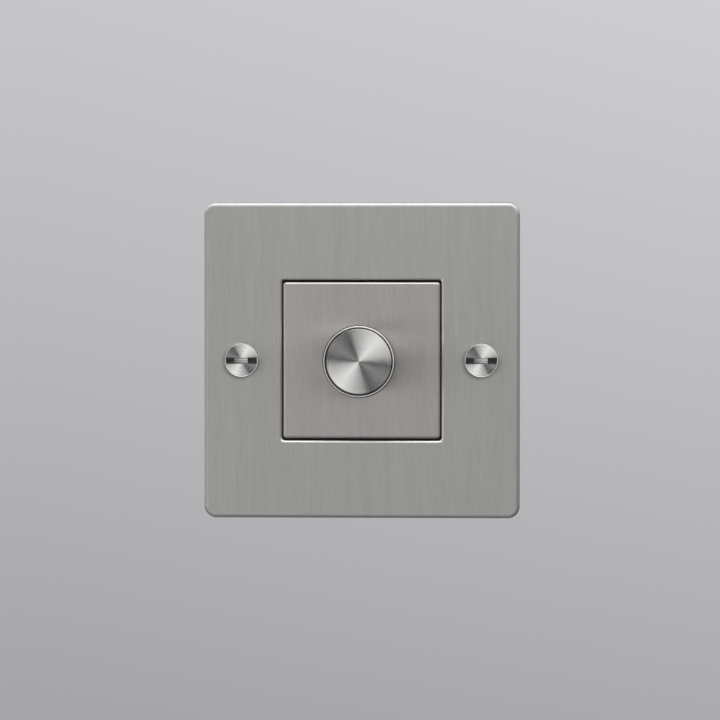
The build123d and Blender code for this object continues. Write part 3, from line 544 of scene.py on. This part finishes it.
def brushedSteel(name, look):
    material, tree, shader, place = newMaterial(name)
    grain = useGroup(tree, brushedGrain, {"Place": place, **look["grain"]})
    shade = grain["Shade"]
    # painted shadow round each given spot
    for contact in look["contacts"]:
        away = fromLine(place, *contact["at"])
        spread = ramp(away, contact["from"], contact["to"], contact["left"], 1.0, "SMOOTHSTEP")
        shade = times(shade, spread)
    # painted shade on the edges that look away from the light
    facing = vectors("DOT_PRODUCT", surfaceNormal(tree), paintedEdgeShade["towards"])
    shade = times(shade, ramp(facing, paintedEdgeShade["from"], paintedEdgeShade["to"], 1.0, paintedEdgeShade["left"]))
    # painted highlights and painted shade along the edges
    for zone in look["zones"]:
        gain = times(zoneMask(place, zone), zone["gain"] - 1.0)
        shade = times(shade, plus(gain, 1.0))
    setMetal(shader, look, shade, grain["Rough"], grain["Normal"], brushedTangent)
    return material


def inHollow(place, look, hollow):
    # 1 in a ring of the turned metal, at this radius and this depth behind its front
    radius, direction = fromAxis(place, look["centre"])
    depth = minus(split(place)["Y"], look["front"])
    ring = between(radius, hollow["from"], hollow["to"])
    if "towards" in hollow:
        side = math.radians(hollow["towards"])
        facing = vectors("DOT_PRODUCT", direction, (math.cos(side), 0.0, math.sin(side)))
        ring = times(ring, maths("MAXIMUM", facing, 0.0))
    return times(ring, between(depth, hollow["below"], hollow["above"]))


def milledShade(place, look):
    # painted shade on the milled floor, darker to one end and along its lower wall, with the cutter's lines
    radius, direction = fromAxis(place, look["centre"])
    parts = split(vectors("SCALE", direction, radius))
    shade = 1.0
    for axis, key in (("X", "across"), ("Z", "upward")):
        shade = times(ramp(parts[axis], *look["milled"][key]), shade)
    pitch, swing = look["milled"]["lines"]
    wave = maths("SINE", times(parts["Z"], math.tau / pitch))
    return times(shade, plus(times(wave, swing), 1.0))


# the gloss spreads along the turned profile: outwards on the face, along the axis on the side
profileLean = (0.0, 0.3, 0.0)
milledTangent = (0.0, 0.0, 1.0)


def spunSteel(name, look):
    material, tree, shader, place = newMaterial(name)
    marks = useGroup(tree, turnedMarks, {"Place": place, "Centre": look["centre"], **look["marks"]})
    shade = marks["Shade"]
    for hollow in look["shadedHollows"]:  # painted shade: narrow places are darker than the open metal
        dark = times(inHollow(place, look, hollow), 1.0 - hollow["left"])
        shade = times(shade, minus(1.0, dark))
    direction = fromAxis(place, look["centre"])[1]
    lean = {"Vector": direction, "Angle": math.radians(look["lean"])}
    turned = nextNode("ShaderNodeVectorRotate", lean, rotation_type="Y_AXIS").outputs[0]
    tangent = vectors("ADD", turned, profileLean)
    tilt = marks["Tilt"]
    if "milled" in look:
        floor = inHollow(place, look, look["milled"])
        shade = times(shade, mix(floor, 1.0, milledShade(place, look)))
        tangent = mix(floor, tangent, milledTangent, "VECTOR")
        tilt = mix(floor, tilt, 0.0)
    slope = vectors("SCALE", turned, tilt)
    if "inward" in look:
        side = maths("SIGN", split(place)["X"])
        slope = vectors("ADD", slope, join(times(side, -look["inward"])))
    tipped = vectors("ADD", surfaceNormal(tree), toWorld(tree, slope))
    setMetal(shader, look, shade, marks["Rough"], vectors("NORMALIZE", tipped), tangent)
    return material


gritHeight = 0.02 * mm
usualGrit = 0.15  # the grit's strength where a look names none
overlays = ("stain", "copper", "pins", "edge")  # other colours of a finish, each over the one before


def plainFinish(name, look):
    material, tree, shader, place = newMaterial(name)
    cloud = useGroup(tree, mottle, {"Place": place, **look.get("mottle", {})})
    wear = useGroup(tree, edgeWear, {})
    colour, shade, metal = look["colour"], cloud["Shade"], look["metal"]
    rough = plus(cloud["Rough"], look["rough"])
    if "rolled" in look:
        grain = useGroup(tree, brushedGrain, {"Place": place, **look["rolled"]})
        shade = times(shade, grain["Shade"])
        rough = plus(rough, grain["Rough"])
    masks = {"stain": lambda: cloud["Patch"], "edge": lambda: wear["Edge"],
             "copper": lambda: useGroup(tree, copperPours, {"Place": place})["Copper"],
             "pins": lambda: useGroup(tree, pinMarks, {"Place": place})["Ring"]}
    for key in overlays:
        if key in look:
            colour = mix(masks[key](), colour, look[key], "RGBA")
    for zone in look.get("zones", []):
        mask, finish = zoneMask(place, zone), zone["finish"]
        colour = mix(mask, colour, finish["colour"], "RGBA")
        rough = mix(mask, rough, finish["rough"])
        if finish["metal"] != look["metal"]:
            metal = mix(mask, metal, finish["metal"])
    bump = nextNode("ShaderNodeBump", {
        "Height": cloud["Height"], "Strength": look.get("grit", usualGrit), "Distance": gritHeight,
        "Normal": wear["Normal"]})
    setInputs(shader, {"Base Color": tinted(colour, shade), "Metallic": metal, "Roughness": rough,
                       "Normal": bump.outputs[0]})
    return material


screwX = 30.0 * mm
lipFront = -3.1  # millimetres, just ahead of the plate's face


def paintedEdgeZone(spanX, spanZ, gain, back):
    # a zone along a front edge, made lighter than the face by a painted highlight or darker by painted shade
    return {"X": spanX, "Y": (lipFront, back), "Z": spanZ, "gain": gain}


plateSteel = {
    "colour": tone(192, 191, 188), "rough": 0.41, "stretch": 0.9,
    # painted shadow round each screw head, shifted down and to the left
    "contacts": [{"at": (x - 0.5 * mm, -0.5 * mm), "from": 3.6 * mm, "to": 5.0 * mm, "left": 0.64}
                 for x in (-screwX, screwX)],
    # painted highlights on the window's lower and right lips and on the top edge
    "zones": [paintedEdgeZone((-20.2, 20.2), (-20.62, -19.9), 1.55, -2.0), paintedEdgeZone((19.9, 20.4), (-19.9, 20.2), 1.6, -2.0),
              paintedEdgeZone((-37.0, 37.0), (38.35, 38.8), 1.25, -2.0)],
    "grain": {"Across": 3800.0, "Along": 150.0, "Tone": 0.31, "Gloss": 0.08, "Slope": 0.07},
}
insertSteel = {
    "colour": tone(193, 188, 186), "rough": 0.41, "stretch": 0.9,
    "contacts": [],
    # painted highlights on its edges at the top and the left, and painted shade on its lower edge
    "zones": [paintedEdgeZone((-19.5, 19.5), (19.45, 19.7), 1.6, -2.3), paintedEdgeZone((-19.7, -19.3), (-19.5, 19.45), 1.7, -2.3),
              paintedEdgeZone((-19.5, 19.5), (19.15, 19.45), 1.2, -2.3), paintedEdgeZone((-19.5, 19.5), (-19.4, -18.95), 0.78, -2.3)],
    "grain": {"Across": 4000.0, "Along": 150.0, "Strands": 0.5, "Tone": 0.38, "Gloss": 0.08, "Slope": 0.07},
}


def ringAt(inner, outer, below, above, **more):
    # a ring of the turned metal, its radii and depths in millimetres
    return {"from": inner * mm, "to": outer * mm, "below": below * mm, "above": above * mm, **more}


awayFromKey = 236.0  # degrees, the side that looks away from the key light
plainTurning = {"Tone": 0.03, "Gloss": 0.02}
groovedTurning = {**plainTurning, "Slope": 1.1}
knobAxis = {"centre": 0.0, "front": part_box("knob")[0].y, "lean": 0.0}
knobSteel = {
    **knobAxis, "colour": tone(185, 184, 182), "rough": 0.14, "stretch": 1.0,
    # painted shade in the groove round the face, on the ledge outside the bead and at the face's edge on the
    # side away from the key light, and how much of the metal's colour is left
    "shadedHollows": [ringAt(8.1, 8.5, 0.24, 1.0, left=0.12), ringAt(8.75, 9.01, 0.2, 0.42, left=0.2),
                ringAt(7.92, 8.1, -0.2, 1.0, left=0.1, towards=awayFromKey)],
    "marks": {"Rings": 7000.0, **groovedTurning},
}
beadSteel = {
    # the bead's colour is lighter than the knob's steel, as a painted highlight
    **knobAxis, "colour": tone(222, 222, 220), "rough": 0.45, "stretch": 0.0,
    # painted shade on the bead's inner slope, on the side away from the light
    "shadedHollows": [ringAt(8.3, 8.55, -0.2, 1.0, left=0.05, towards=awayFromKey)],
    "marks": {"Rings": 7000.0, **plainTurning},
}
screwAxis = {
    "centre": screwX, "front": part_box("fixing_screws")[0].y,
    "lean": 12.0,                           # degrees that the marks' gloss is turned from the spokes
    "inward": math.tan(math.radians(1.0)),  # the screws lean a little towards the knob
}
screwSteel = {
    **screwAxis, "colour": tone(188, 187, 185), "rough": 0.14, "stretch": 1.0,
    # painted shade in the deep ends of the coin slot and on the chamfer outside the rim
    "shadedHollows": [ringAt(0.0, 3.86, 0.5, 1.5, left=0.2), ringAt(4.19, 4.31, 0.08, 0.42, left=0.35)],
    # the slot's floor is milled along the slot, so its gloss spreads up and down
    "milled": ringAt(0.0, 3.86, 0.3, 0.4, across=(-1.7 * mm, 0.4 * mm, 0.38, 1.0),
                     upward=(-0.55 * mm, -0.35 * mm, 0.62, 1.0), lines=(0.6 * mm, 0.24)),
    "marks": {"Rings": 9000.0, **groovedTurning},
}
rimSteel = {
    # the rim's colour is lighter than the screws' steel, as a painted highlight
    **screwAxis, "colour": tone(214, 214, 212), "rough": 0.45, "stretch": 0.0, "shadedHollows": [],
    "marks": {"Rings": 9000.0, **plainTurning},
}


def plain(colour, rough, metal=0.0, **more):
    # a finish without a brushed or turned grain; all its colours are written as they look on screen
    others = {key: tone(*more.pop(key)) for key in overlays if key in more}
    return {"colour": tone(*colour), "rough": rough, "metal": metal, **others, **more}


# small zones of another finish: bare leads, bands and the like
tinned = plain((204, 204, 206), 0.32, 1.0)
bareCan = plain((206, 207, 209), 0.35, 1.0)
ventLine = plain((92, 93, 95), 0.35)
carbonTrack = plain((34, 34, 36), 0.5)
behindBoard = {"Y": (13.76, 17.0), "finish": tinned}   # the leads, from the board's face on
resistorBands = [((-2.5, -1.9), (140, 60, 30)), ((-1.3, -0.7), (30, 30, 30)), ((-0.1, 0.5), (210, 120, 30)),
                 ((1.9, 2.5), (190, 150, 60))]
rolledSteel = {"Across": 1600.0, "Along": 45.0, "Tone": 0.16, "Gloss": 0.1, "Slope": 0.0}
plainLooks = {
    "gasket_black": plain((24, 24, 25), 0.8, grit=0.7, mottle={"Cloud": 400.0, "Grit": 2600.0, "Tone": 0.3}),
    "zinc_steel": plain((196, 198, 202), 0.37, 1.0, stain=(202, 198, 189), edge=(222, 223, 225),
        rolled=rolledSteel, mottle={"Cloud": 190.0, "Tone": 0.14, "Gloss": 0.14}),
    "black_moulding": plain((37, 37, 39), 0.46, edge=(66, 66, 69), pins=(52, 52, 54), grit=0.5,
        mottle={"Cloud": 120.0, "Grit": 4200.0, "Tone": 0.2, "Gloss": 0.12}),
    "white_nylon": plain((228, 226, 217), 0.42, stain=(220, 216, 203)),
    "tan_laminate": plain((172, 122, 70), 0.55, stain=(156, 106, 58), zones=[
        {"round": (0.0, 0.0, 4.2, 6.4), "Y": (7.0, 7.1), "Z": (-4.5, 9.0), "finish": carbonTrack}]),
    "board_green": plain((22, 74, 42), 0.3, copper=(38, 104, 60), edge=(150, 148, 96)),
    "brass": plain((216, 186, 118), 0.28, 1.0, stain=(192, 154, 88), edge=(234, 210, 150),
        rolled={**rolledSteel, "Tone": 0.1}, mottle={"Cloud": 260.0, "Tone": 0.16, "Gloss": 0.16}),
    "bronze_spring": plain((208, 152, 104), 0.28, 1.0, stain=(186, 126, 84), edge=(226, 180, 138)),
    "tinned_wire": plain((204, 204, 206), 0.3, 1.0, stain=(186, 187, 190)),
    "spring_steel": plain((150, 150, 152), 0.3, 1.0, stain=(132, 130, 128)),
    "aluminium_plain": plain((208, 209, 211), 0.36, 1.0, edge=(226, 226, 228),
        rolled={**rolledSteel, "Across": 2400.0}),
    "ferrite_grey": plain((64, 62, 60), 0.7, stain=(78, 75, 72), grit=0.6,
        mottle={"Cloud": 900.0, "Grit": 3000.0}),
    "copper_enamel": plain((196, 108, 60), 0.25, 1.0, stain=(178, 88, 46), zones=[behindBoard]),
    "film_box": plain((198, 158, 48), 0.4, edge=(212, 176, 78), zones=[behindBoard]),
    "can_sleeve": plain((34, 38, 56), 0.3, zones=[
        {"X": (9.0, 11.2), "finish": plain((178, 180, 188), 0.3)},
        {"round": (14.3, 14.3, 0.0, 3.3), "Y": (4.0, 4.9), "finish": bareCan},
        *({"round": (14.3, 14.3, 0.0, 2.4), "Y": (4.0, 4.9), axis: (14.18, 14.42), "finish": ventLine}
          for axis in "XZ"),
        behindBoard]),
    "black_epoxy": plain((31, 31, 32), 0.6, edge=(48, 48, 50), grit=0.4),
    "fuse_brown": plain((94, 54, 36), 0.45, stain=(80, 44, 28), zones=[behindBoard]),
    "varistor_blue": plain((38, 84, 148), 0.25, stain=(30, 72, 134), zones=[behindBoard]),
    "resistor_buff": plain((206, 178, 132), 0.4, zones=[
        *({"X": span, "finish": plain(colour, 0.35)} for span, colour in resistorBands),
        {"X": (-6.0, -3.11), "finish": tinned}, {"X": (3.11, 6.0), "finish": tinned}]),
}
# parts in the black moulding compound whose legs and tabs are bare metal
epoxyZones = {
    "bridge_rectifier": [behindBoard, {
        "round": (-16.6, 13.75, 0.0, 0.7), "Y": (8.0, 8.3), "finish": plain((190, 190, 192), 0.35)}],
    "controller_chip": [{"Z": (10.0, 12.04), "finish": tinned}, {"Z": (15.96, 18.0), "finish": tinned},
        {"round": (-1.8, 12.8, 0.0, 0.35), "Y": (12.0, 12.2), "finish": plain((70, 70, 72), 0.35)}],
    "power_transistors": [{"Z": (1.01, 8.0), "finish": tinned}, {"Z": (-12.0, -8.01), "finish": tinned}],
}

finishes = {slot: plainFinish(slot, look) for slot, look in plainLooks.items()}
finishes["plate_steel"] = brushedSteel("plate_steel", plateSteel)
finishes["insert_steel"] = brushedSteel("insert_steel", insertSteel)
knobFinish = spunSteel("spun_knob", knobSteel)
beadFinish = spunSteel("spun_bead", beadSteel)
screwFinish = spunSteel("spun_screws", screwSteel)
rimFinish = spunSteel("spun_rims", rimSteel)

for solid in nodes.values():
    slot = solid.data.materials[0].name.split(".")[0]
    solid.material_slots[0].material = finishes.get(slot, knobFinish)
nodes["fixing_screws"].material_slots[0].material = screwFinish
for name, zones in epoxyZones.items():
    look = {**plainLooks["black_epoxy"], "zones": zones}
    nodes[name].material_slots[0].material = plainFinish("epoxy_" + name, look)
print("finishes on all", len(nodes), "solids")


# Pieces that are turned or wound: finer than their solids, in the same places

wireSides = 10
endShare = 0.0001      # the rows within this share of an end close it
weld = 0.001 * mm
ridgeFlank = (0.88, 0.12)  # where the thread's flank starts and where its crest is flat
solderSweep = 2.2
cornerPower = 0.3      # how squarely the winding turns round the core's corners


def newShapeTree(name, sizes):
    # a tree whose inputs are a form's sizes
    inputs = {"Geometry": "Geometry", **sizes, "Finish": "Material"}
    return newTree(name, inputs, ["Geometry"], "GeometryNodeTree")


def shapeNode(kind, values):
    return nextNode(kind, values).outputs[0]


def onEachPoint(tree, given, made, shape):
    spread = shapeNode("GeometryNodeInstanceOnPoints", {"Points": given["Geometry"], "Instance": shape})
    real = shapeNode("GeometryNodeRealizeInstances", {0: spread})
    setInputs(made, {0: shapeNode("GeometryNodeSetMaterial", {0: real, "Material": given["Finish"]})})
    return tree


def aroundAxis(radius, turn, along):
    # a place at a radius and a share of a turn round Y
    angle = times(turn, math.tau)
    across, up = (times(radius, maths(wave, angle)) for wave in ("COSINE", "SINE"))
    return join(across, along, up)


def turnedGrid(tree, given):
    # a sheet to roll round Y, with each point's share of the turn and of the length
    size = {"Vertices X": plus(given["Sides"], 1.0), "Vertices Y": given["Rows"]}
    parts = split(addNode(tree, "GeometryNodeInputPosition").outputs[0])
    return shapeNode("GeometryNodeMeshGrid", size), plus(parts["X"], 0.5), plus(parts["Y"], 0.5)


def rollUp(sheet, turn, share, radius, along):
    # the first and last rows meet on the axis, which closes both ends
    inner = between(share, endShare, 1.0 - endShare)
    place = aroundAxis(times(radius, inner), turn, along)
    moved = shapeNode("GeometryNodeSetPosition", {"Geometry": sheet, "Position": place})
    return shapeNode("GeometryNodeMergeByDistance", {"Geometry": moved, "Distance": weld})


def makeThreadTree(sizes):
    tree, given, made = newShapeTree("screwThread", sizes)
    sheet, turn, share = turnedGrid(tree, given)
    along = times(share, given["Length"])
    phase = maths("FRACT", minus(maths("DIVIDE", along, given["Pitch"]), turn))
    slant = maths("ABSOLUTE", minus(times(phase, 2.0), 1.0))
    ended = minus(given["Length"], given["Run Out"])
    rise = ramp(along, given["Run In"], plus(given["Run In"], given["Pitch"]))
    fall = ramp(along, ended, minus(ended, given["Pitch"]))
    ridge = times(ramp(slant, *ridgeFlank), given["Crest"])
    height = times(times(rise, fall), ridge)
    shape = rollUp(sheet, turn, share, plus(given["Core"], height), along)
    return onEachPoint(tree, given, made, shape)


def makeSolderTree(sizes):
    tree, given, made = newShapeTree("solderJoint", sizes)
    sheet, turn, share = turnedGrid(tree, given)
    sweep = maths("POWER", minus(1.0, share), solderSweep)
    radius = plus(given["Tip"], times(sweep, minus(given["Foot"], given["Tip"])))
    shape = rollUp(sheet, turn, share, radius, times(share, given["Height"]))
    return onEachPoint(tree, given, made, shape)


def lengthShare(tree):
    return addNode(tree, "GeometryNodeSplineParameter").outputs[0]


def wireAlong(tree, given, place, points):
    # a round wire on the path that place gives, from the share of its length
    line = addNode(tree, "GeometryNodeCurvePrimitiveLine").outputs[0]
    path = shapeNode("GeometryNodeResampleCurve", {"Curve": line, "Count": points})
    laid = shapeNode("GeometryNodeSetPosition", {"Geometry": path, "Position": place})
    ring = shapeNode("GeometryNodeCurvePrimitiveCircle", {"Resolution": wireSides, "Radius": given["Wire"]})
    return shapeNode("GeometryNodeCurveToMesh", {"Curve": laid, "Profile Curve": ring, "Fill Caps": True})


def makeSpringTree(sizes):
    tree, given, made = newShapeTree("coilSpring", sizes)
    share = lengthShare(tree)
    flat = maths("DIVIDE", 0.5, given["Turns"])  # half a turn lies flat at each end
    along = ramp(share, flat, minus(1.0, flat), 0.0, given["Height"])
    place = aroundAxis(given["Radius"], times(share, given["Turns"]), along)
    return onEachPoint(tree, given, made, wireAlong(tree, given, place, given["Points"]))


def makeWindingTree(sizes):
    tree, given, made = newShapeTree("ringWinding", sizes)
    share = lengthShare(tree)
    angle = times(share, times(given["Turns"], math.tau))

    def squared(half, kind):
        # the wire lies against the core's flat sides and turns at its corners
        wave = maths(kind, angle)
        size = maths("POWER", maths("ABSOLUTE", wave), cornerPower)
        return times(half, times(size, maths("SIGN", wave)))

    out, along = squared(given["Half Width"], "COSINE"), squared(given["Half Height"], "SINE")
    turn = times(minus(share, 0.5), given["Arc"])
    place = aroundAxis(plus(given["Middle"], out), turn, along)
    return onEachPoint(tree, given, made, wireAlong(tree, given, place, given["Points"]))


def makeLeadTree(sizes):
    tree, given, made = newShapeTree("straightLead", sizes)
    place = join(0.0, times(lengthShare(tree), given["Length"]))
    return onEachPoint(tree, given, made, wireAlong(tree, given, place, 2))


def evaluatedMesh(thing):
    bpy.context.view_layer.update()
    ready = thing.evaluated_get(bpy.context.evaluated_depsgraph_get())
    return bpy.data.meshes.new_from_object(ready)


def growMesh(name, makeTree, points, sizes, finish):
    # a tree's result on these points, as a plain mesh
    tree = makeTree(sizes)
    mesh = bpy.data.meshes.new(name)
    mesh.from_pydata(points, [], [])
    seed = newObject(name, mesh)
    grow = seed.modifiers.new("grow", "NODES")
    grow.node_group = tree
    settings = {**sizes, "Finish": finish}
    for item in tree.interface.items_tree:
        if item.in_out == "INPUT" and item.name in settings:
            grow[item.identifier] = settings[item.name]
    grown = evaluatedMesh(seed)
    bpy.data.objects.remove(seed)
    return grown


def toMesh(built, name):
    # a mesh from what was built, with its normals outwards
    bmesh.ops.recalc_face_normals(built, faces=built.faces)
    mesh = bpy.data.meshes.new(name)
    built.to_mesh(mesh)
    built.free()
    return mesh


squareFace = 0.9999  # how squarely a face looks along Y to count as flat


def makePiece(name, meshes, looks, body, node, sharp=35.0):
    # one piece from closed meshes, with its normals outwards
    joined = bmesh.new()
    for mesh in meshes:
        joined.from_mesh(mesh)
    bmesh.ops.recalc_face_normals(joined, faces=joined.faces)
    for face in joined.faces:
        face.smooth = True
    for edge in joined.edges:
        # a face square to Y stays flat up to its edge
        square = [abs(face.normal.y) > squareFace for face in edge.link_faces]
        edge.smooth = edge.calc_face_angle(0.0) < math.radians(sharp) and square.count(True) != 1
    mesh = toMesh(joined, name)
    for finish in looks:
        mesh.materials.append(finish)
    piece = newObject(name, mesh)
    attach(piece, body)
    if node:
        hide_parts(node)
    return piece


def crown(inner, outer, front, drop, steps):
    # a fine rounded bead between two radii
    middle, half = (inner + outer) / 2, (outer - inner) / 2
    shares = [2 * step / steps - 1 for step in range(steps + 1)]
    return [(middle + half * share, front - drop * share * share) for share in shares]


def turnedMesh(name, profile, steps, second=(), centre=0.0):
    # a closed profile of radius and distance ahead of the wall, turned round Y at X = centre
    turned = bmesh.new()
    angles = [math.tau * step / steps for step in range(steps)]
    rings = []
    for radius, ahead in profile:
        if radius == 0.0:
            rings.append([turned.verts.new((centre, -ahead, 0.0))] * steps)
            continue
        rings.append([turned.verts.new((centre + radius * math.cos(angle), -ahead, radius * math.sin(angle)))
                      for angle in angles])
    for row, (inner, outer) in enumerate(zip(rings, rings[1:])):
        for step in range(steps):
            following = (step + 1) % steps
            corners = [inner[step], inner[following], outer[following], outer[step]]
            turned.faces.new(list(dict.fromkeys(corners))).material_index = int(row in second)
    return toMesh(turned, name)


# the knob: a plain face, a groove, a fine bead and ledge round it, and a side that narrows to the back
knobForm = {
    "face": 8.1 * mm, "edge": 0.05 * mm,
    "grooveOut": 8.45 * mm, "grooveDepth": 0.9 * mm,
    "beadOut": 8.76 * mm, "beadCrown": 0.07 * mm, "beadSteps": 8,
    "rim": 9.0 * mm, "rimDrop": 0.15 * mm, "ledge": 0.25 * mm, "land": 1.0 * mm,
    "back": 8.2 * mm, "backEdge": 0.35 * mm,
    "hollow": 6.6 * mm, "hollowFloor": 7.7 * mm, "bore": 4.5 * mm, "boreEnd": 13.7 * mm,
    "steps": 144,
}
finePieceSharp = 20.0  # degrees, for the knob and the screws


def makeKnob(form):
    front = -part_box("knob")[0].y
    back = -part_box("knob")[1].y
    rimFront = front - form["rimDrop"]
    grooveFloor = front - form["grooveDepth"]
    ledge, edge, backEdge = rimFront - form["ledge"], form["edge"], form["backEdge"]
    bead = crown(form["grooveOut"], form["beadOut"], rimFront, form["beadCrown"], form["beadSteps"])
    profile = [
        (0.0, front), (form["face"] - edge, front), (form["face"], front - edge),
        (form["face"], grooveFloor), (form["grooveOut"], grooveFloor),
        *bead,
        (form["beadOut"], ledge), (form["rim"], ledge), (form["rim"], rimFront - form["land"]),
        (form["back"], back + backEdge), (form["back"] - backEdge, back),
        (form["hollow"], back), (form["hollow"], form["hollowFloor"]), (form["bore"], form["hollowFloor"]),
        (form["bore"], form["boreEnd"]), (0.0, form["boreEnd"]),
    ]
    first = profile.index(bead[0])
    mesh = turnedMesh("turned_knob", profile, form["steps"], range(first, first + form["beadSteps"]))
    makePiece("turned_knob", [mesh], [knobFinish, beadFinish], "knob", "knob", finePieceSharp)


# the fixing screws: a turned head with a fine rim, a coin slot that is deep at its ends, and a cut thread
screwForm = {
    "centre": screwX, "face": 3.98 * mm, "rim": 4.19 * mm, "rimCrown": 0.05 * mm, "rimSteps": 6,
    "head": 4.3 * mm, "chamfer": 0.36 * mm, "neck": 1.4 * mm, "neckEnd": 0.9 * mm, "steps": 96,
    "slot": {"length": 7.6 * mm, "width": 1.6 * mm, "deep": 1.3 * mm, "bridge": 3.4 * mm,
             "shallow": 0.35 * mm, "shift": -0.16 * mm, "lift": -0.1 * mm, "headroom": 1.0 * mm},
    "thread": {"Length": 21.3 * mm, "Core": 1.3 * mm, "Crest": 0.44 * mm, "Pitch": 0.7 * mm,
               "Run In": 0.7 * mm, "Run Out": 0.35 * mm, "Sides": 28, "Rows": 244},
    "overlap": 0.1 * mm,        # the thread starts this far inside the neck
}


def slotCutter(slot, centre, front):
    half, top, deep, shallow = slot["length"] / 2, slot["headroom"], -slot["deep"], -slot["shallow"]
    left, right = slot["shift"] - slot["bridge"] / 2, slot["shift"] + slot["bridge"] / 2
    outline = [(-half, top), (half, top), (half, deep), (right, deep), (right, shallow), (left, shallow),
               (left, deep), (-half, deep)]
    count = len(outline)
    walls = (slot["lift"] - slot["width"] / 2, slot["lift"] + slot["width"] / 2)
    points = [(centre + x, -(front + rise), z) for z in walls for x, rise in outline]
    sides = [(step, (step + 1) % count, (step + 1) % count + count, step + count) for step in range(count)]
    block = bmesh.new()
    corners = [block.verts.new(point) for point in points]
    for side in [tuple(range(count)), tuple(range(count, 2 * count)), *sides]:
        block.faces.new([corners[index] for index in side])
    return toMesh(block, "slotCutter")


levelAngle = math.radians(0.2)  # faces closer than this count as one


def cutAway(mesh, cutter):
    # the first mesh less the second, with its flat faces whole again
    body, tool = newObject("body", mesh), newObject("tool", cutter)
    cut = body.modifiers.new("cut", "BOOLEAN")
    cut.operation, cut.solver, cut.object = "DIFFERENCE", "EXACT", tool
    result = evaluatedMesh(body)
    for thing in (body, tool):
        bpy.data.objects.remove(thing)
    clean = bmesh.new()
    clean.from_mesh(result)
    bmesh.ops.dissolve_limit(clean, angle_limit=levelAngle, verts=clean.verts, edges=clean.edges,
                             delimit={"MATERIAL"})
    clean.to_mesh(result)
    clean.free()
    return result


def makeScrews(form):
    front = -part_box("fixing_screws")[0].y
    plateFront = -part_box("front_plate")[0].y
    rim = crown(form["face"], form["rim"], front, form["rimCrown"], form["rimSteps"])
    profile = [
        (0.0, front - form["rimCrown"]), *rim, (form["head"], front - form["chamfer"]),
        (form["head"], plateFront), (form["neck"], plateFront), (form["neck"], -form["neckEnd"]),
        (0.0, -form["neckEnd"]),
    ]
    parts, starts, looks = [], [], [screwFinish, rimFinish]
    for centre in (-form["centre"], form["centre"]):
        head = turnedMesh("head", profile, form["steps"], range(1, 1 + form["rimSteps"]), centre)
        for finish in looks:
            head.materials.append(finish)
        parts.append(cutAway(head, slotCutter(form["slot"], centre, front)))
        starts.append((centre, form["neckEnd"] - form["overlap"], 0.0))
    parts.append(growMesh("thread", makeThreadTree, starts, form["thread"], screwFinish))
    makePiece("coin_slot_screws", parts, looks, "base", "fixing_screws", finePieceSharp)


leadSearch = {"tip": 0.02 * mm, "apart": 1.2 * mm}  # a lead's end corners, and how far apart they may be


def leadEnds(node):
    # where a solid's leads end behind the board, as X and Z
    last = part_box(node)[1].y - leadSearch["tip"]
    ends = []
    for corner in nodes[node].data.vertices:
        if corner.co.y < last:
            continue
        spot = corner.co.xz
        for group in ends:
            if (group[0] - spot).length < leadSearch["apart"]:
                group.append(spot)
                break
        else:
            ends.append([spot])

    def middle(values):
        return (min(values) + max(values)) / 2

    return [(middle([spot[0] for spot in group]), middle([spot[1] for spot in group])) for group in ends]


# the choke's winding on its ring, and its two leads, which start a little ahead of the board
windingForm = {
    "turns": {"Middle": 3.075 * mm, "Half Width": 1.255 * mm, "Half Height": 2.38 * mm, "Wire": 0.265 * mm,
              "Turns": 17.0, "Arc": 0.8, "Points": 700},
    "leadWire": 0.3 * mm, "leadStart": 1.2 * mm,
}


def makeWinding(form):
    low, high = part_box("choke_winding")
    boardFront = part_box("circuit_board")[0].y
    ringX = (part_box("choke_core")[0].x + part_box("choke_core")[1].x) / 2
    centre = (ringX, (low.y + boardFront) / 2, 0.0)
    finish = finishes["copper_enamel"]
    turns = growMesh("turns", makeWindingTree, [centre], form["turns"], finish)
    feet = [(x, boardFront - form["leadStart"], z) for x, z in leadEnds("choke_winding")]
    lead = {"Wire": form["leadWire"], "Length": high.y - boardFront + form["leadStart"]}
    leads = growMesh("leads", makeLeadTree, feet, lead, finish)
    makePiece("wound_choke", [turns, leads], [finish], "base", "choke_winding")


# the switch's return spring, which the plunger pushes together
springForm = {"Radius": 2.6 * mm, "Wire": 0.225 * mm, "Turns": 3.0, "Points": 150}


def makeSpring(form):
    low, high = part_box("return_spring")
    floor = high.y - form["Wire"]
    sizes = {**form, "Height": low.y + form["Wire"] - floor}
    finish = finishes["spring_steel"]
    coil = growMesh("coil", makeSpringTree, [(0.0, floor, 0.0)], sizes, finish)
    piece = makePiece("coil_spring", [coil], [finish], "base", "return_spring")
    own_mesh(piece)


# solder round each lead behind the board
solderForm = {
    "solids": ["film_capacitor", "choke_winding", "smoothing_capacitor", "bridge_rectifier", "fuse",
               "varistor", "feed_resistor", "switch_contacts", "track_terminals"],
    "joint": {"Foot": 0.78 * mm, "Tip": 0.38 * mm, "Height": 0.6 * mm, "Sides": 14, "Rows": 7},
}


def makeSolder(form):
    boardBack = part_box("circuit_board")[1].y
    feet = [(x, boardBack, z) for node in form["solids"] for x, z in leadEnds(node)]
    finish = finishes["tinned_wire"]
    joints = growMesh("joints", makeSolderTree, feet, form["joint"], finish)
    makePiece("solder_joints", [joints], [finish], "base", None)


makeKnob(knobForm)
makeScrews(screwForm)
makeWinding(windingForm)
makeSpring(springForm)
makeSolder(solderForm)
print("turned and wound pieces made")
